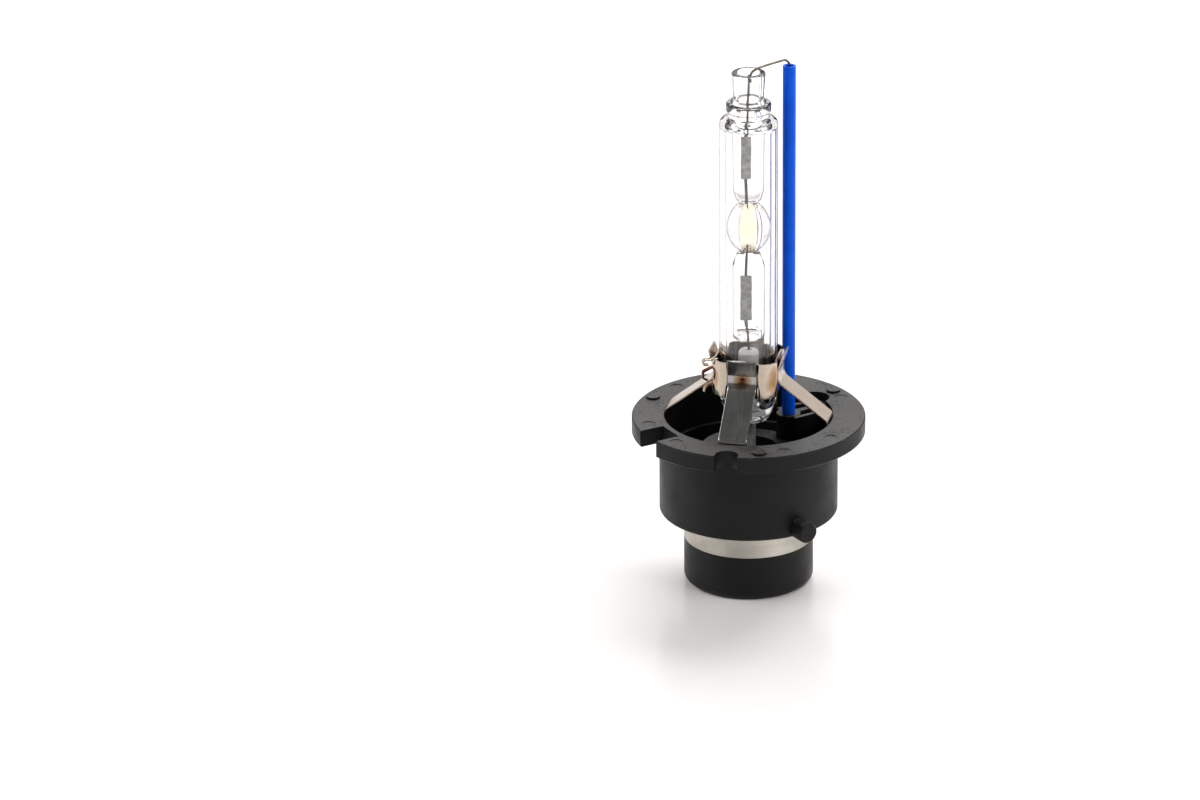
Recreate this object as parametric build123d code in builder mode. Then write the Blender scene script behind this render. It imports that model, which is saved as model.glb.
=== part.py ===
from build123d import *
import math
import os

# A xenon discharge headlight bulb on a 32 mm prefocus base, in millimetres.
# +Z runs along the lamp axis towards the tip. The origin is the centre of the reference plane,
# which touches the tops of the three seat bosses on the flange. The key notch points to -Y.

# ---------------------------------------------------------------- fits
SLIP_FIT = 0.05            # radial play between parts that are pushed together
WIRE_FIT = 0.1             # radial room round a wire that is threaded through plastic

# ---------------------------------------------------------------- flange and housing
SEAT_BOSS_RADIUS = 0.95
SEAT_BOSS_HEIGHT = 0.3
SEAT_BOSS_INSET = 1.6      # boss centre inside the flange's rim
SEAT_BOSS_ANGLE = -73
FLANGE_RADIUS = 16.0
FLANGE_THICKNESS = 2.4
FLANGE_EDGE = 0.15
KEY_NOTCH_WIDTH = 3.2
KEY_NOTCH_DEPTH = 2.4
SIDE_NOTCH_WIDTH = 4.3
SIDE_NOTCH_ANGLE = -138
SIDE_NOTCH_WEB = 0.05      # how far the side notch stays outside the body wall
EJECTOR_RADIUS = 0.9
EJECTOR_DEPTH = 0.08
EJECTOR_INSET = 1.9
EJECTOR_ANGLES = (146, -154, -123, -59, -26, 37)
BODY_RADIUS = 12.25
BODY_DEPTH = 11.45         # from the flange underside to the body's lower end
BODY_EDGE = 0.4
MOUTH_WALL = 0.65          # wall round the counterbore that receives the feet of the legs
MOUTH_DEPTH = 5.5
CAVITY_WALL = 1.35
FLOOR_THICKNESS = 1.95
RIB_THICKNESS = 0.9
RIB_HEIGHT = 3.6
RELIEF_WIDTH = 4.0         # relief in the mouth's rim beside the sleeve
RELIEF_REACH = 1.4         # how far the relief runs outside the counterbore
RELIEF_DEPTH = 1.2
BAYONET_RADIUS = 1.45
BAYONET_LENGTH = 2.45      # outside the body
BAYONET_SINK = 0.1         # root of the pin inside the body's outline
BAYONET_RISE = 1.25        # pin axis above the body's lower end
BAYONET_EDGE = 0.2
BAYONET_ANGLES = (-45, 135)

# ---------------------------------------------------------------- connector end
CAP_RADIUS = 8.9
CAP_HEIGHT = 6.3
CAP_EDGE = 1.0
RING_HEIGHT = 3.95
RING_THICKNESS = 0.5
SPIGOT_WALL = 0.6          # spigot outside the sleeve's axis
TOWER_RADIUS = 6.5
TOWER_HEIGHT = 7.1
TOWER_BORE_RADIUS = 3.9
TOWER_BORE_DEPTH = 5.7
WELL_WALL = 2.9
WELL_DEPTH = 8.1
PIN_RADIUS = 1.15
PIN_RECESS = 1.6           # pin tip above the cap's lower end
PIN_TIP = 0.5
PIN_ROOT = 3.5             # length of the pin moulded into the plastic
PIN_ROOT_RADIUS = 0.8
PIN_COLLAR_RADIUS = 1.8
PIN_COLLAR_HEIGHT = 0.6

# ---------------------------------------------------------------- glass
LIGHT_CENTRE = 27.2        # above the reference plane
BALL_RADIUS = 3.0
BALL_HALF_HEIGHT = 3.72
CAVITY_BALL_RADIUS = 1.4
CAVITY_BALL_HALF_HEIGHT = 3.5
SEAL_RADIUS = 2.2          # pinched legs of the arc tube
SEAL_SHOULDER = 0.9
SEAL_GAP = 3.35            # from the light centre to either leg's shoulder
UPPER_SEAL_LENGTH = 18.55
LOWER_SEAL_LENGTH = 12.65
SEAL_BORE_RADIUS = 1.4
UPPER_BORE_DEPTH = 7.6
LOWER_BORE_DEPTH = 1.7
ENVELOPE_RADIUS = 4.0
ENVELOPE_WALL = 0.85
ENVELOPE_BOTTOM = -0.7
ENVELOPE_TAPER_HEIGHT = 3.8
ENVELOPE_TAPER = 1.05      # how much smaller the rim of the foot is than the jacket, in radius
ENVELOPE_SHOULDER_DROP = 6.35  # below the top of the upper sealed leg
ENVELOPE_SHOULDER_BEND = 1.3
COLLAR_WIDTH = 0.88        # how far the collar stands round the sealed leg
COLLAR_STEP = 0.2          # how far the neck is set in from the collar
COLLAR_HEIGHT = 1.3
COLLAR_NECK = 0.9
STEM_RADIUS = 1.45
STEM_GAP = 1.75            # below the lower sealed leg
STEM_BOTTOM = -0.9
STEM_DOME = 1.16           # bend at the rim of the stem's dome

# ---------------------------------------------------------------- metal inside the glass
ELECTRODE_RADIUS = 0.13
ARC_GAP = 4.3
UPPER_FOIL_START = 7.0     # above the light centre
LOWER_FOIL_START = 6.9     # below the light centre
UPPER_FOIL_LENGTH = 6.2
LOWER_FOIL_LENGTH = 6.5
FOIL_WIDTH = 1.05
FOIL_THICKNESS = 0.06
UPPER_FOIL_TURN = 40
LOWER_FOIL_TURN = 20
LEAD_RADIUS = 0.16
UPPER_LEAD_STICKOUT = 0.1
PELLET_RADIUS = 0.14
PELLET_ORBIT = 0.66
PELLET_DROP = 2.72         # below the light centre
PELLET_ANGLES = (10, 75, 150, 230)
MERCURY_RADIUS = 0.17
MERCURY_ANGLE = 300

# ---------------------------------------------------------------- mounting of the glass
LEG_WIDTH = 3.95
LEG_THICKNESS = 0.3
LEG_WELD_HEIGHT = 6.2      # middle of the welded land
LEG_WELD_LAND = 1.7
LEG_TAB_HEIGHT = 9.55
LEG_TAB_FLARE = 1.05       # how far the tab's end stands outside the welded land
LEG_KNEE_HEIGHT = 0.1
LEG_FOOT_DEPTH = 6.5
LEG_BENDS = (0.5, 2.0, 0.5)  # from the tab to the foot
BAND_THICKNESS = 0.25
BAND_BOTTOM = 3.7
BAND_HEIGHT = 5.1
BAND_FLAT_MARGIN = 0.1     # the band's flat beyond either edge of a leg
BAND_LOBE_RISE = 1.1       # how far the lobes stand outside the flats
BAND_LOBE_SHARE = 0.74     # a lobe's share of the angle left between two flats
BAND_LOBE_BEND = 0.7       # share of a lobe's side taken up by the bend at its top
BAND_FOOT_BEND = 0.2       # share of a lobe's side taken up by the bend at its foot
EAR_CLEARANCE = 0.1        # between the ear and the edge of the left leg
EAR_LENGTH = 1.25          # from the middle of a lobe's rise
EAR_THICKNESS = 0.5
EAR_HEIGHT = 3.4
PRONG_RADIUS = 0.45
PRONG_LENGTH = 0.8

# ---------------------------------------------------------------- return wire
SLEEVE_ANGLE = 45
SLEEVE_GAP = 0.3           # between the sleeve and the band's lobes
SLEEVE_RADIUS = 0.9
SLEEVE_BORE_RADIUS = 0.54
SLEEVE_DROP = 0.3          # sleeve's upper end below the top of the glass
SOCKET_WALL = 0.7
SOCKET_TOP = -1.6
CHANNEL_HALF_WIDTH = 1.7
CHANNEL_WALL = 0.6
INSULATOR_RADIUS = 1.0
INSULATOR_SEAT = 1.0       # depth of the insulator's seat in the tower
WIRE_RADIUS = 0.16
WIRE_ARCH_RISE = 0.65      # top of the arch above the glass
WIRE_ARCH_FALL = 0.3       # the arch's fall from the sleeve to the lead
WIRE_ARCH_BENDS = (0.5, 2.5, 0.5, 0.5)  # from the lead to the sleeve
WIRE_BEND = 0.7
WIRE_LAP_LENGTH = 1.2      # wire's run beside the upper lead
WIRE_LAP_END = 0.2         # where the wire leaves the lead, below the lead's end
RING_TAP_DROP = 2.0        # wire's way out to the ring, below the ring's upper edge

# ---------------------------------------------------------------- derived levels and radii
SEAT_BOSS_ORBIT = FLANGE_RADIUS - SEAT_BOSS_INSET
EJECTOR_ORBIT = FLANGE_RADIUS - EJECTOR_INSET
MOUTH_RADIUS = BODY_RADIUS - MOUTH_WALL
CAVITY_RADIUS = BODY_RADIUS - CAVITY_WALL
RELIEF_RADIUS = MOUTH_RADIUS + RELIEF_REACH
BAYONET_REACH = BODY_RADIUS + BAYONET_LENGTH
WELL_RADIUS = CAP_RADIUS - WELL_WALL
FLANGE_TOP = -SEAT_BOSS_HEIGHT
FLANGE_UNDERSIDE = FLANGE_TOP - FLANGE_THICKNESS
BODY_BOTTOM = FLANGE_UNDERSIDE - BODY_DEPTH
FLOOR_TOP = BODY_BOTTOM + FLOOR_THICKNESS
RING_BOTTOM = BODY_BOTTOM - RING_HEIGHT
CAP_BOTTOM = RING_BOTTOM - CAP_HEIGHT
TOWER_TOP = FLOOR_TOP + TOWER_HEIGHT
TOWER_BORE_BOTTOM = TOWER_TOP - TOWER_BORE_DEPTH
WELL_TOP = CAP_BOTTOM + WELL_DEPTH
PIN_BOTTOM = CAP_BOTTOM + PIN_RECESS
PIN_TOP = WELL_TOP + PIN_ROOT
INSULATOR_BOTTOM = TOWER_BORE_BOTTOM - INSULATOR_SEAT
UPPER_SEAL_TOP = LIGHT_CENTRE + SEAL_GAP + UPPER_SEAL_LENGTH
LOWER_SEAL_BOTTOM = LIGHT_CENTRE - SEAL_GAP - LOWER_SEAL_LENGTH
ENVELOPE_SHOULDER_TOP = UPPER_SEAL_TOP - ENVELOPE_SHOULDER_DROP
ENVELOPE_RIM_RADIUS = ENVELOPE_RADIUS - ENVELOPE_TAPER
COLLAR_RADIUS = SEAL_RADIUS + COLLAR_WIDTH
STEM_TOP = LOWER_SEAL_BOTTOM - STEM_GAP
SLEEVE_TOP = UPPER_SEAL_TOP - SLEEVE_DROP
WIRE_ARCH = UPPER_SEAL_TOP + WIRE_ARCH_RISE
UPPER_TIP = LIGHT_CENTRE + ARC_GAP / 2
LOWER_TIP = LIGHT_CENTRE - ARC_GAP / 2
UPPER_FOIL_BOTTOM = LIGHT_CENTRE + UPPER_FOIL_START
UPPER_FOIL_TOP = UPPER_FOIL_BOTTOM + UPPER_FOIL_LENGTH
LOWER_FOIL_TOP = LIGHT_CENTRE - LOWER_FOIL_START
LOWER_FOIL_BOTTOM = LOWER_FOIL_TOP - LOWER_FOIL_LENGTH
UPPER_LEAD_TOP = UPPER_SEAL_TOP + UPPER_LEAD_STICKOUT
BAND_FLAT_RADIUS = ENVELOPE_RADIUS + SLIP_FIT + BAND_THICKNESS
BAND_FLAT_HALF = LEG_WIDTH / 2 + BAND_FLAT_MARGIN
LEG_LAND_RADIUS = BAND_FLAT_RADIUS + LEG_THICKNESS / 2
FOOT_FACE = math.sqrt((MOUTH_RADIUS - SLIP_FIT) ** 2 - (LEG_WIDTH / 2) ** 2)
EAR_ROOT = BAND_FLAT_RADIUS + BAND_LOBE_RISE / 2
EAR_REACH = EAR_ROOT + EAR_LENGTH
EAR_OFFSET = LEG_WIDTH / 2 + EAR_CLEARANCE + EAR_THICKNESS / 2
EAR_ANGLE = math.degrees(math.asin(EAR_OFFSET / EAR_ROOT)) - 180
SLEEVE_ORBIT = BAND_FLAT_RADIUS + BAND_LOBE_RISE + SLEEVE_GAP + SLEEVE_RADIUS
SPIGOT_RADIUS = SLEEVE_ORBIT + SPIGOT_WALL
SOCKET_RADIUS = SLEEVE_RADIUS + SLIP_FIT + SOCKET_WALL
RING_TAP_LEVEL = BODY_BOTTOM - RING_TAP_DROP


def radial_plane(angle):
    """Upright plane through the lamp axis: x points outwards at the angle, y points up."""
    turn = math.radians(angle)
    outward = (math.cos(turn), math.sin(turn), 0)
    return Plane(origin=(0, 0, 0), x_dir=outward, z_dir=(math.sin(turn), -math.cos(turn), 0))


def facing_plane(angle, level):
    """Plane across a radius at the given level: its normal points outwards at the angle."""
    turn = math.radians(angle)
    outward = (math.cos(turn), math.sin(turn), 0)
    return Plane(origin=(0, 0, level), x_dir=(-math.sin(turn), math.cos(turn), 0), z_dir=outward)


def on_circle(radius, angle):
    """Point at a radius and an angle in a level plane."""
    turn = math.radians(angle)
    return (radius * math.cos(turn), radius * math.sin(turn))


def write_step(piece, name):
    """Label a finished piece and write it as one STEP file."""
    piece.part.label = name
    export_step(piece.part, f"parts/{name}.step")


# ---------------------------------------------------------------- plastic base
def make_base_housing():
    """Black moulded housing: keyed flange, round body with two bayonet pins, open cavity."""
    with BuildPart() as base_housing:
        with BuildSketch(Plane.XY.offset(BODY_BOTTOM)):
            Circle(BODY_RADIUS)
        extrude(amount=BODY_DEPTH)
        fillet(base_housing.faces().sort_by(Axis.Z)[0].edges(), radius=BODY_EDGE)
        with BuildSketch(Plane.XY.offset(FLANGE_UNDERSIDE)):
            Circle(FLANGE_RADIUS)
        extrude(amount=FLANGE_THICKNESS)
        rim = base_housing.edges().filter_by(GeomType.CIRCLE).sort_by(SortBy.RADIUS)[-2:]
        chamfer(rim, length=FLANGE_EDGE)
        cut_notches()
        cut_cavity()
        add_flange_marks()
        add_cavity_walls()
        add_bayonet_pins()
    return base_housing


def cut_notches():
    """Round-ended key notch at -Y and the wide square notch beside it."""
    with BuildSketch(Plane.XY.offset(FLANGE_UNDERSIDE)) as outline:
        with PolarLocations(FLANGE_RADIUS, 1, start_angle=-90):
            SlotOverall(2 * KEY_NOTCH_DEPTH, KEY_NOTCH_WIDTH)
        notch_floor = BODY_RADIUS + SIDE_NOTCH_WEB
        notch_depth = FLANGE_RADIUS - notch_floor
        with PolarLocations(notch_floor + notch_depth, 1, start_angle=SIDE_NOTCH_ANGLE):
            Rectangle(2 * notch_depth, SIDE_NOTCH_WIDTH)
    extrude(outline.sketch, amount=FLANGE_THICKNESS, mode=Mode.SUBTRACT)


def cut_cavity():
    """Mouth counterbore, main cavity, floor hole for the connector cap's spigot, rim relief."""
    with BuildSketch(Plane.XY.offset(FLANGE_TOP)) as outline:
        Circle(MOUTH_RADIUS)
    extrude(outline.sketch, amount=-MOUTH_DEPTH, mode=Mode.SUBTRACT)
    with BuildSketch(Plane.XY.offset(FLOOR_TOP)) as outline:
        Circle(CAVITY_RADIUS)
    extrude(outline.sketch, amount=FLANGE_TOP - FLOOR_TOP, mode=Mode.SUBTRACT)
    with BuildSketch(Plane.XY.offset(BODY_BOTTOM)) as outline:
        Circle(SPIGOT_RADIUS + SLIP_FIT)
    extrude(outline.sketch, amount=FLOOR_THICKNESS, mode=Mode.SUBTRACT)
    with BuildSketch(Plane.XY.offset(FLANGE_TOP)) as outline:
        with PolarLocations(0, 1, start_angle=SLEEVE_ANGLE):
            SlotOverall(2 * RELIEF_RADIUS, RELIEF_WIDTH)
        Circle(MOUTH_RADIUS, mode=Mode.SUBTRACT)
        far_side = on_circle(-RELIEF_RADIUS, SLEEVE_ANGLE)
        with Locations(far_side):
            Circle(RELIEF_WIDTH, mode=Mode.SUBTRACT)
    extrude(outline.sketch, amount=-RELIEF_DEPTH, mode=Mode.SUBTRACT)
    foot_middle = FOOT_FACE - LEG_THICKNESS / 2
    with BuildSketch(Plane.XY.offset(FLANGE_TOP - MOUTH_DEPTH)) as outline:
        with PolarLocations(foot_middle, 4):
            Rectangle(LEG_THICKNESS + 2 * SLIP_FIT, LEG_WIDTH + 2 * SLIP_FIT)
    extrude(outline.sketch, amount=-(LEG_FOOT_DEPTH - MOUTH_DEPTH) - SLIP_FIT, mode=Mode.SUBTRACT)


def add_flange_marks():
    """Three raised seat bosses that set the reference plane, and shallow ejector marks."""
    with BuildSketch(Plane.XY.offset(FLANGE_TOP)) as outline:
        with PolarLocations(SEAT_BOSS_ORBIT, 3, start_angle=SEAT_BOSS_ANGLE):
            Circle(SEAT_BOSS_RADIUS)
    extrude(outline.sketch, amount=SEAT_BOSS_HEIGHT)
    with BuildSketch(Plane.XY.offset(FLANGE_TOP)) as outline:
        for angle in EJECTOR_ANGLES:
            with Locations(on_circle(EJECTOR_ORBIT, angle)):
                Circle(EJECTOR_RADIUS)
    extrude(outline.sketch, amount=-EJECTOR_DEPTH, mode=Mode.SUBTRACT)


def add_cavity_walls():
    """Socket and U-shaped channel for the sleeve, and low ribs under the legs."""
    channel_outer = CHANNEL_HALF_WIDTH + CHANNEL_WALL
    channel_length = CAVITY_RADIUS + CHANNEL_WALL - SLEEVE_ORBIT + channel_outer
    channel_middle = SLEEVE_ORBIT - channel_outer + channel_length / 2
    with BuildSketch(Plane.XY.offset(FLOOR_TOP)) as outline:
        with PolarLocations(channel_middle, 1, start_angle=SLEEVE_ANGLE):
            SlotOverall(channel_length, 2 * channel_outer)
            SlotOverall(channel_length - 2 * CHANNEL_WALL, 2 * CHANNEL_HALF_WIDTH, mode=Mode.SUBTRACT)
        with PolarLocations((TOWER_RADIUS + CAVITY_RADIUS) / 2, 1, start_angle=SLEEVE_ANGLE):
            Rectangle(CAVITY_RADIUS - TOWER_RADIUS, RIB_THICKNESS)
        Circle(TOWER_RADIUS + SLIP_FIT, mode=Mode.SUBTRACT)
        with PolarLocations(SLEEVE_ORBIT, 1, start_angle=SLEEVE_ANGLE):
            Circle(SOCKET_RADIUS)
            Circle(SLEEVE_RADIUS + SLIP_FIT, mode=Mode.SUBTRACT)
    extrude(outline.sketch, amount=SOCKET_TOP - FLOOR_TOP)
    rib_length = CAVITY_RADIUS - SPIGOT_RADIUS
    with BuildSketch(Plane.XY.offset(FLOOR_TOP)) as outline:
        with PolarLocations(SPIGOT_RADIUS + SLIP_FIT + rib_length / 2, 4):
            Rectangle(rib_length, RIB_THICKNESS)
    extrude(outline.sketch, amount=RIB_HEIGHT)


def add_bayonet_pins():
    """Two round pins standing out of the body near its lower end."""
    root = BODY_RADIUS - BAYONET_SINK
    for angle in BAYONET_ANGLES:
        plane = facing_plane(angle, BODY_BOTTOM + BAYONET_RISE)
        with BuildSketch(plane.offset(root)) as outline:
            Circle(BAYONET_RADIUS)
        extrude(outline.sketch, amount=BAYONET_REACH - root - BAYONET_EDGE)
        with BuildSketch(plane.offset(BAYONET_REACH - BAYONET_EDGE)) as outline:
            Circle(BAYONET_RADIUS)
        extrude(outline.sketch, amount=BAYONET_EDGE, taper=45)


def make_connector_cap(centre_contact):
    """Black core moulding: cap with a connector well, ring neck, spigot and inner tower."""
    with BuildPart() as connector_cap:
        with BuildSketch(Plane.XY.offset(CAP_BOTTOM)):
            Circle(CAP_RADIUS)
        extrude(amount=CAP_HEIGHT)
        fillet(connector_cap.faces().sort_by(Axis.Z)[0].edges(), radius=CAP_EDGE)
        neck_radius = CAP_RADIUS - RING_THICKNESS - SLIP_FIT
        steps = (
            (neck_radius, RING_BOTTOM, RING_HEIGHT),
            (SPIGOT_RADIUS, BODY_BOTTOM, FLOOR_THICKNESS),
            (TOWER_RADIUS, FLOOR_TOP, TOWER_HEIGHT),
        )
        for radius, level, height in steps:
            with BuildSketch(Plane.XY.offset(level)):
                Circle(radius)
            extrude(amount=height)
        with BuildSketch(Plane.XY.offset(TOWER_TOP)):
            Circle(TOWER_BORE_RADIUS)
        extrude(amount=-TOWER_BORE_DEPTH, mode=Mode.SUBTRACT)
        with BuildSketch(Plane.XY.offset(CAP_BOTTOM)):
            Circle(WELL_RADIUS)
        extrude(amount=WELL_DEPTH, mode=Mode.SUBTRACT)
        cut_wire_ways()
        add(centre_contact.part, mode=Mode.SUBTRACT)
    return connector_cap


def cut_wire_ways():
    """Seat of the lead insulator, lead hole, room for the sleeve socket, way to the ring."""
    with BuildSketch(Plane.XY.offset(TOWER_BORE_BOTTOM)) as outline:
        Circle(INSULATOR_RADIUS + SLIP_FIT)
    extrude(outline.sketch, amount=INSULATOR_BOTTOM - TOWER_BORE_BOTTOM, mode=Mode.SUBTRACT)
    with BuildSketch(Plane.XY.offset(PIN_TOP)) as outline:
        Circle(LEAD_RADIUS + WIRE_FIT)
    extrude(outline.sketch, amount=INSULATOR_BOTTOM - PIN_TOP, mode=Mode.SUBTRACT)
    with BuildSketch(Plane.XY.offset(FLOOR_TOP)) as outline:
        with PolarLocations(SLEEVE_ORBIT, 1, start_angle=SLEEVE_ANGLE):
            Circle(SOCKET_RADIUS + SLIP_FIT)
    extrude(outline.sketch, amount=TOWER_HEIGHT, mode=Mode.SUBTRACT)
    way_radius = WIRE_RADIUS + WIRE_FIT
    with BuildSketch(Plane.XY.offset(RING_TAP_LEVEL)) as outline:
        with PolarLocations(SLEEVE_ORBIT, 1, start_angle=SLEEVE_ANGLE):
            Circle(way_radius)
    extrude(outline.sketch, amount=FLOOR_TOP - RING_TAP_LEVEL, mode=Mode.SUBTRACT)
    ring_way = facing_plane(SLEEVE_ANGLE, RING_TAP_LEVEL).offset(SLEEVE_ORBIT - way_radius)
    with BuildSketch(ring_way) as outline:
        with Locations((0, WIRE_BEND / 2)):
            Rectangle(2 * way_radius, WIRE_BEND + 2 * way_radius)
    extrude(outline.sketch, amount=CAP_RADIUS - SLEEVE_ORBIT, mode=Mode.SUBTRACT)


def make_centre_contact():
    """Central contact pin with a rounded tip and a collar that locks it in the plastic."""
    with BuildPart() as centre_contact:
        with BuildSketch(Plane.XY.offset(PIN_BOTTOM)):
            Circle(PIN_RADIUS)
        extrude(amount=WELL_TOP - PIN_BOTTOM)
        fillet(centre_contact.faces().sort_by(Axis.Z)[0].edges(), radius=PIN_TIP)
        with BuildSketch(Plane.XY.offset(WELL_TOP)):
            Circle(PIN_ROOT_RADIUS)
        extrude(amount=PIN_ROOT)
        with BuildSketch(Plane.XY.offset(WELL_TOP + (PIN_ROOT - PIN_COLLAR_HEIGHT) / 2)):
            Circle(PIN_COLLAR_RADIUS)
        extrude(amount=PIN_COLLAR_HEIGHT)
    return centre_contact


def make_contact_ring():
    """Plated ring round the neck, the bulb's second contact."""
    with BuildPart() as contact_ring:
        with BuildSketch(Plane.XY.offset(RING_BOTTOM)):
            Circle(CAP_RADIUS)
            Circle(CAP_RADIUS - RING_THICKNESS, mode=Mode.SUBTRACT)
        extrude(amount=RING_HEIGHT)
    return contact_ring


# ---------------------------------------------------------------- spring legs and clamp band
def make_support_leg(angle):
    """Bent strip: flared tab, welded land on the band, straight slant, foot in the housing."""
    foot = FOOT_FACE - LEG_THICKNESS / 2
    spine = [
        (LEG_LAND_RADIUS + LEG_TAB_FLARE, LEG_TAB_HEIGHT),
        (LEG_LAND_RADIUS, LEG_WELD_HEIGHT + LEG_WELD_LAND / 2),
        (LEG_LAND_RADIUS, LEG_WELD_HEIGHT - LEG_WELD_LAND / 2),
        (foot, LEG_KNEE_HEIGHT),
        (foot, FLANGE_TOP - LEG_FOOT_DEPTH),
    ]
    with BuildPart() as support_leg:
        with BuildSketch(radial_plane(angle)):
            with BuildLine():
                FilletPolyline(*spine, radius=[*LEG_BENDS])
            trace(line_width=LEG_THICKNESS)
        extrude(amount=LEG_WIDTH / 2, both=True)
    return support_leg


def band_outline():
    """Corners of the band's wavy outer outline: a flat at each leg and a lobe between legs."""
    lobe_radius = BAND_FLAT_RADIUS + BAND_LOBE_RISE
    flat_angle = math.degrees(math.atan2(BAND_FLAT_HALF, BAND_FLAT_RADIUS))
    flat_corner = math.hypot(BAND_FLAT_HALF, BAND_FLAT_RADIUS)
    lobe_spread = BAND_LOBE_SHARE * (45 - flat_angle)
    corners = []
    for quarter in range(4):
        turn = 90 * quarter
        corners.append(on_circle(flat_corner, turn + flat_angle))
        corners.append(on_circle(lobe_radius, turn + 45 - lobe_spread))
        corners.append(on_circle(lobe_radius, turn + 45 + lobe_spread))
        corners.append(on_circle(flat_corner, turn + 90 - flat_angle))
    return corners


def bend_radius(before, corner, after, tangent_length):
    """Radius of the bend at a corner whose tangents have the given length."""
    incoming = Vector(*corner) - Vector(*before)
    outgoing = Vector(*after) - Vector(*corner)
    turn = math.radians(incoming.get_angle(outgoing))
    return tangent_length / math.tan(turn / 2)


def make_clamp_band():
    """Wavy steel band round the glass, closed by a folded ear with two curled prongs."""
    corners = band_outline()
    side = (Vector(*corners[1]) - Vector(*corners[0])).length
    foot_bend = bend_radius(corners[-1], corners[0], corners[1], BAND_FOOT_BEND * side)
    lobe_bend = bend_radius(corners[0], corners[1], corners[2], BAND_LOBE_BEND * side)
    bends = [foot_bend, lobe_bend, lobe_bend, foot_bend] * 4
    with BuildPart() as clamp_band:
        with BuildSketch(Plane.XY.offset(BAND_BOTTOM)):
            with BuildLine():
                FilletPolyline(*corners, radius=bends, close=True)
            make_face()
            offset(amount=-BAND_THICKNESS, mode=Mode.SUBTRACT)
        extrude(amount=BAND_HEIGHT)
        add_band_ear()
    return clamp_band


def add_band_ear():
    """Ear standing out radially, with a prong curled across it near each end."""
    ear_bottom = BAND_BOTTOM + (BAND_HEIGHT - EAR_HEIGHT) / 2
    with BuildSketch(Plane.XY.offset(ear_bottom)) as outline:
        with PolarLocations((EAR_ROOT + EAR_REACH) / 2, 1, start_angle=EAR_ANGLE):
            Rectangle(EAR_REACH - EAR_ROOT, EAR_THICKNESS)
    extrude(outline.sketch, amount=EAR_HEIGHT)
    for level in (ear_bottom + PRONG_RADIUS, ear_bottom + EAR_HEIGHT - PRONG_RADIUS):
        with BuildSketch(radial_plane(EAR_ANGLE)) as outline:
            with Locations((EAR_REACH, level)):
                Circle(PRONG_RADIUS)
        extrude(outline.sketch, amount=PRONG_LENGTH / 2, both=True)


# ---------------------------------------------------------------- glass
def make_outer_envelope():
    """Closed quartz jacket: tapered foot, straight wall, rounded shoulder, fused collar."""
    inner = ENVELOPE_RADIUS - ENVELOPE_WALL
    neck_radius = COLLAR_RADIUS - COLLAR_STEP
    neck_top = ENVELOPE_SHOULDER_TOP + COLLAR_NECK
    collar_top = neck_top + COLLAR_HEIGHT
    rim_inside = ENVELOPE_RIM_RADIUS - ENVELOPE_WALL
    outline = [
        (rim_inside, ENVELOPE_BOTTOM),
        (ENVELOPE_RIM_RADIUS, ENVELOPE_BOTTOM),
        (ENVELOPE_RADIUS, ENVELOPE_BOTTOM + ENVELOPE_TAPER_HEIGHT),
        (ENVELOPE_RADIUS, ENVELOPE_SHOULDER_TOP),
        (neck_radius, ENVELOPE_SHOULDER_TOP + COLLAR_NECK / 2),
        (COLLAR_RADIUS, neck_top),
        (COLLAR_RADIUS, collar_top),
        (SEAL_RADIUS, collar_top),
        (SEAL_RADIUS, ENVELOPE_SHOULDER_TOP - ENVELOPE_WALL),
        (inner, ENVELOPE_SHOULDER_TOP - ENVELOPE_WALL),
        (inner, ENVELOPE_BOTTOM + ENVELOPE_TAPER_HEIGHT + ENVELOPE_WALL),
        (rim_inside, ENVELOPE_BOTTOM + 2 * ENVELOPE_WALL),
        (STEM_RADIUS, ENVELOPE_BOTTOM + 2 * ENVELOPE_WALL),
        (STEM_RADIUS, ENVELOPE_BOTTOM + ENVELOPE_WALL),
        (rim_inside, ENVELOPE_BOTTOM + ENVELOPE_WALL / 2),
    ]
    with BuildPart() as outer_envelope:
        with BuildSketch(Plane.XZ):
            with BuildLine():
                Polyline(*outline, close=True)
            make_face()
            round_envelope_corners(vertices(), inner, collar_top)
        revolve(axis=Axis.Z)
    return outer_envelope


def round_envelope_corners(corners, inner, collar_top):
    """Soften the jacket's outline where glass is drawn, and leave the sealed corners sharp."""
    bends = (
        (ENVELOPE_RADIUS, ENVELOPE_SHOULDER_TOP, ENVELOPE_SHOULDER_BEND),
        (inner, ENVELOPE_SHOULDER_TOP - ENVELOPE_WALL, ENVELOPE_WALL),
        (COLLAR_RADIUS, collar_top, COLLAR_HEIGHT / 3),
        (COLLAR_RADIUS, collar_top - COLLAR_HEIGHT, COLLAR_HEIGHT / 3),
        (ENVELOPE_RIM_RADIUS, ENVELOPE_BOTTOM, ENVELOPE_WALL / 3),
        (ENVELOPE_RADIUS, ENVELOPE_BOTTOM + ENVELOPE_TAPER_HEIGHT, ENVELOPE_WALL),
    )
    for radius, level, bend in bends:
        corner = corners.sort_by_distance(Vector(radius, level, 0))[0]
        fillet(corner, radius=bend)


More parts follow.
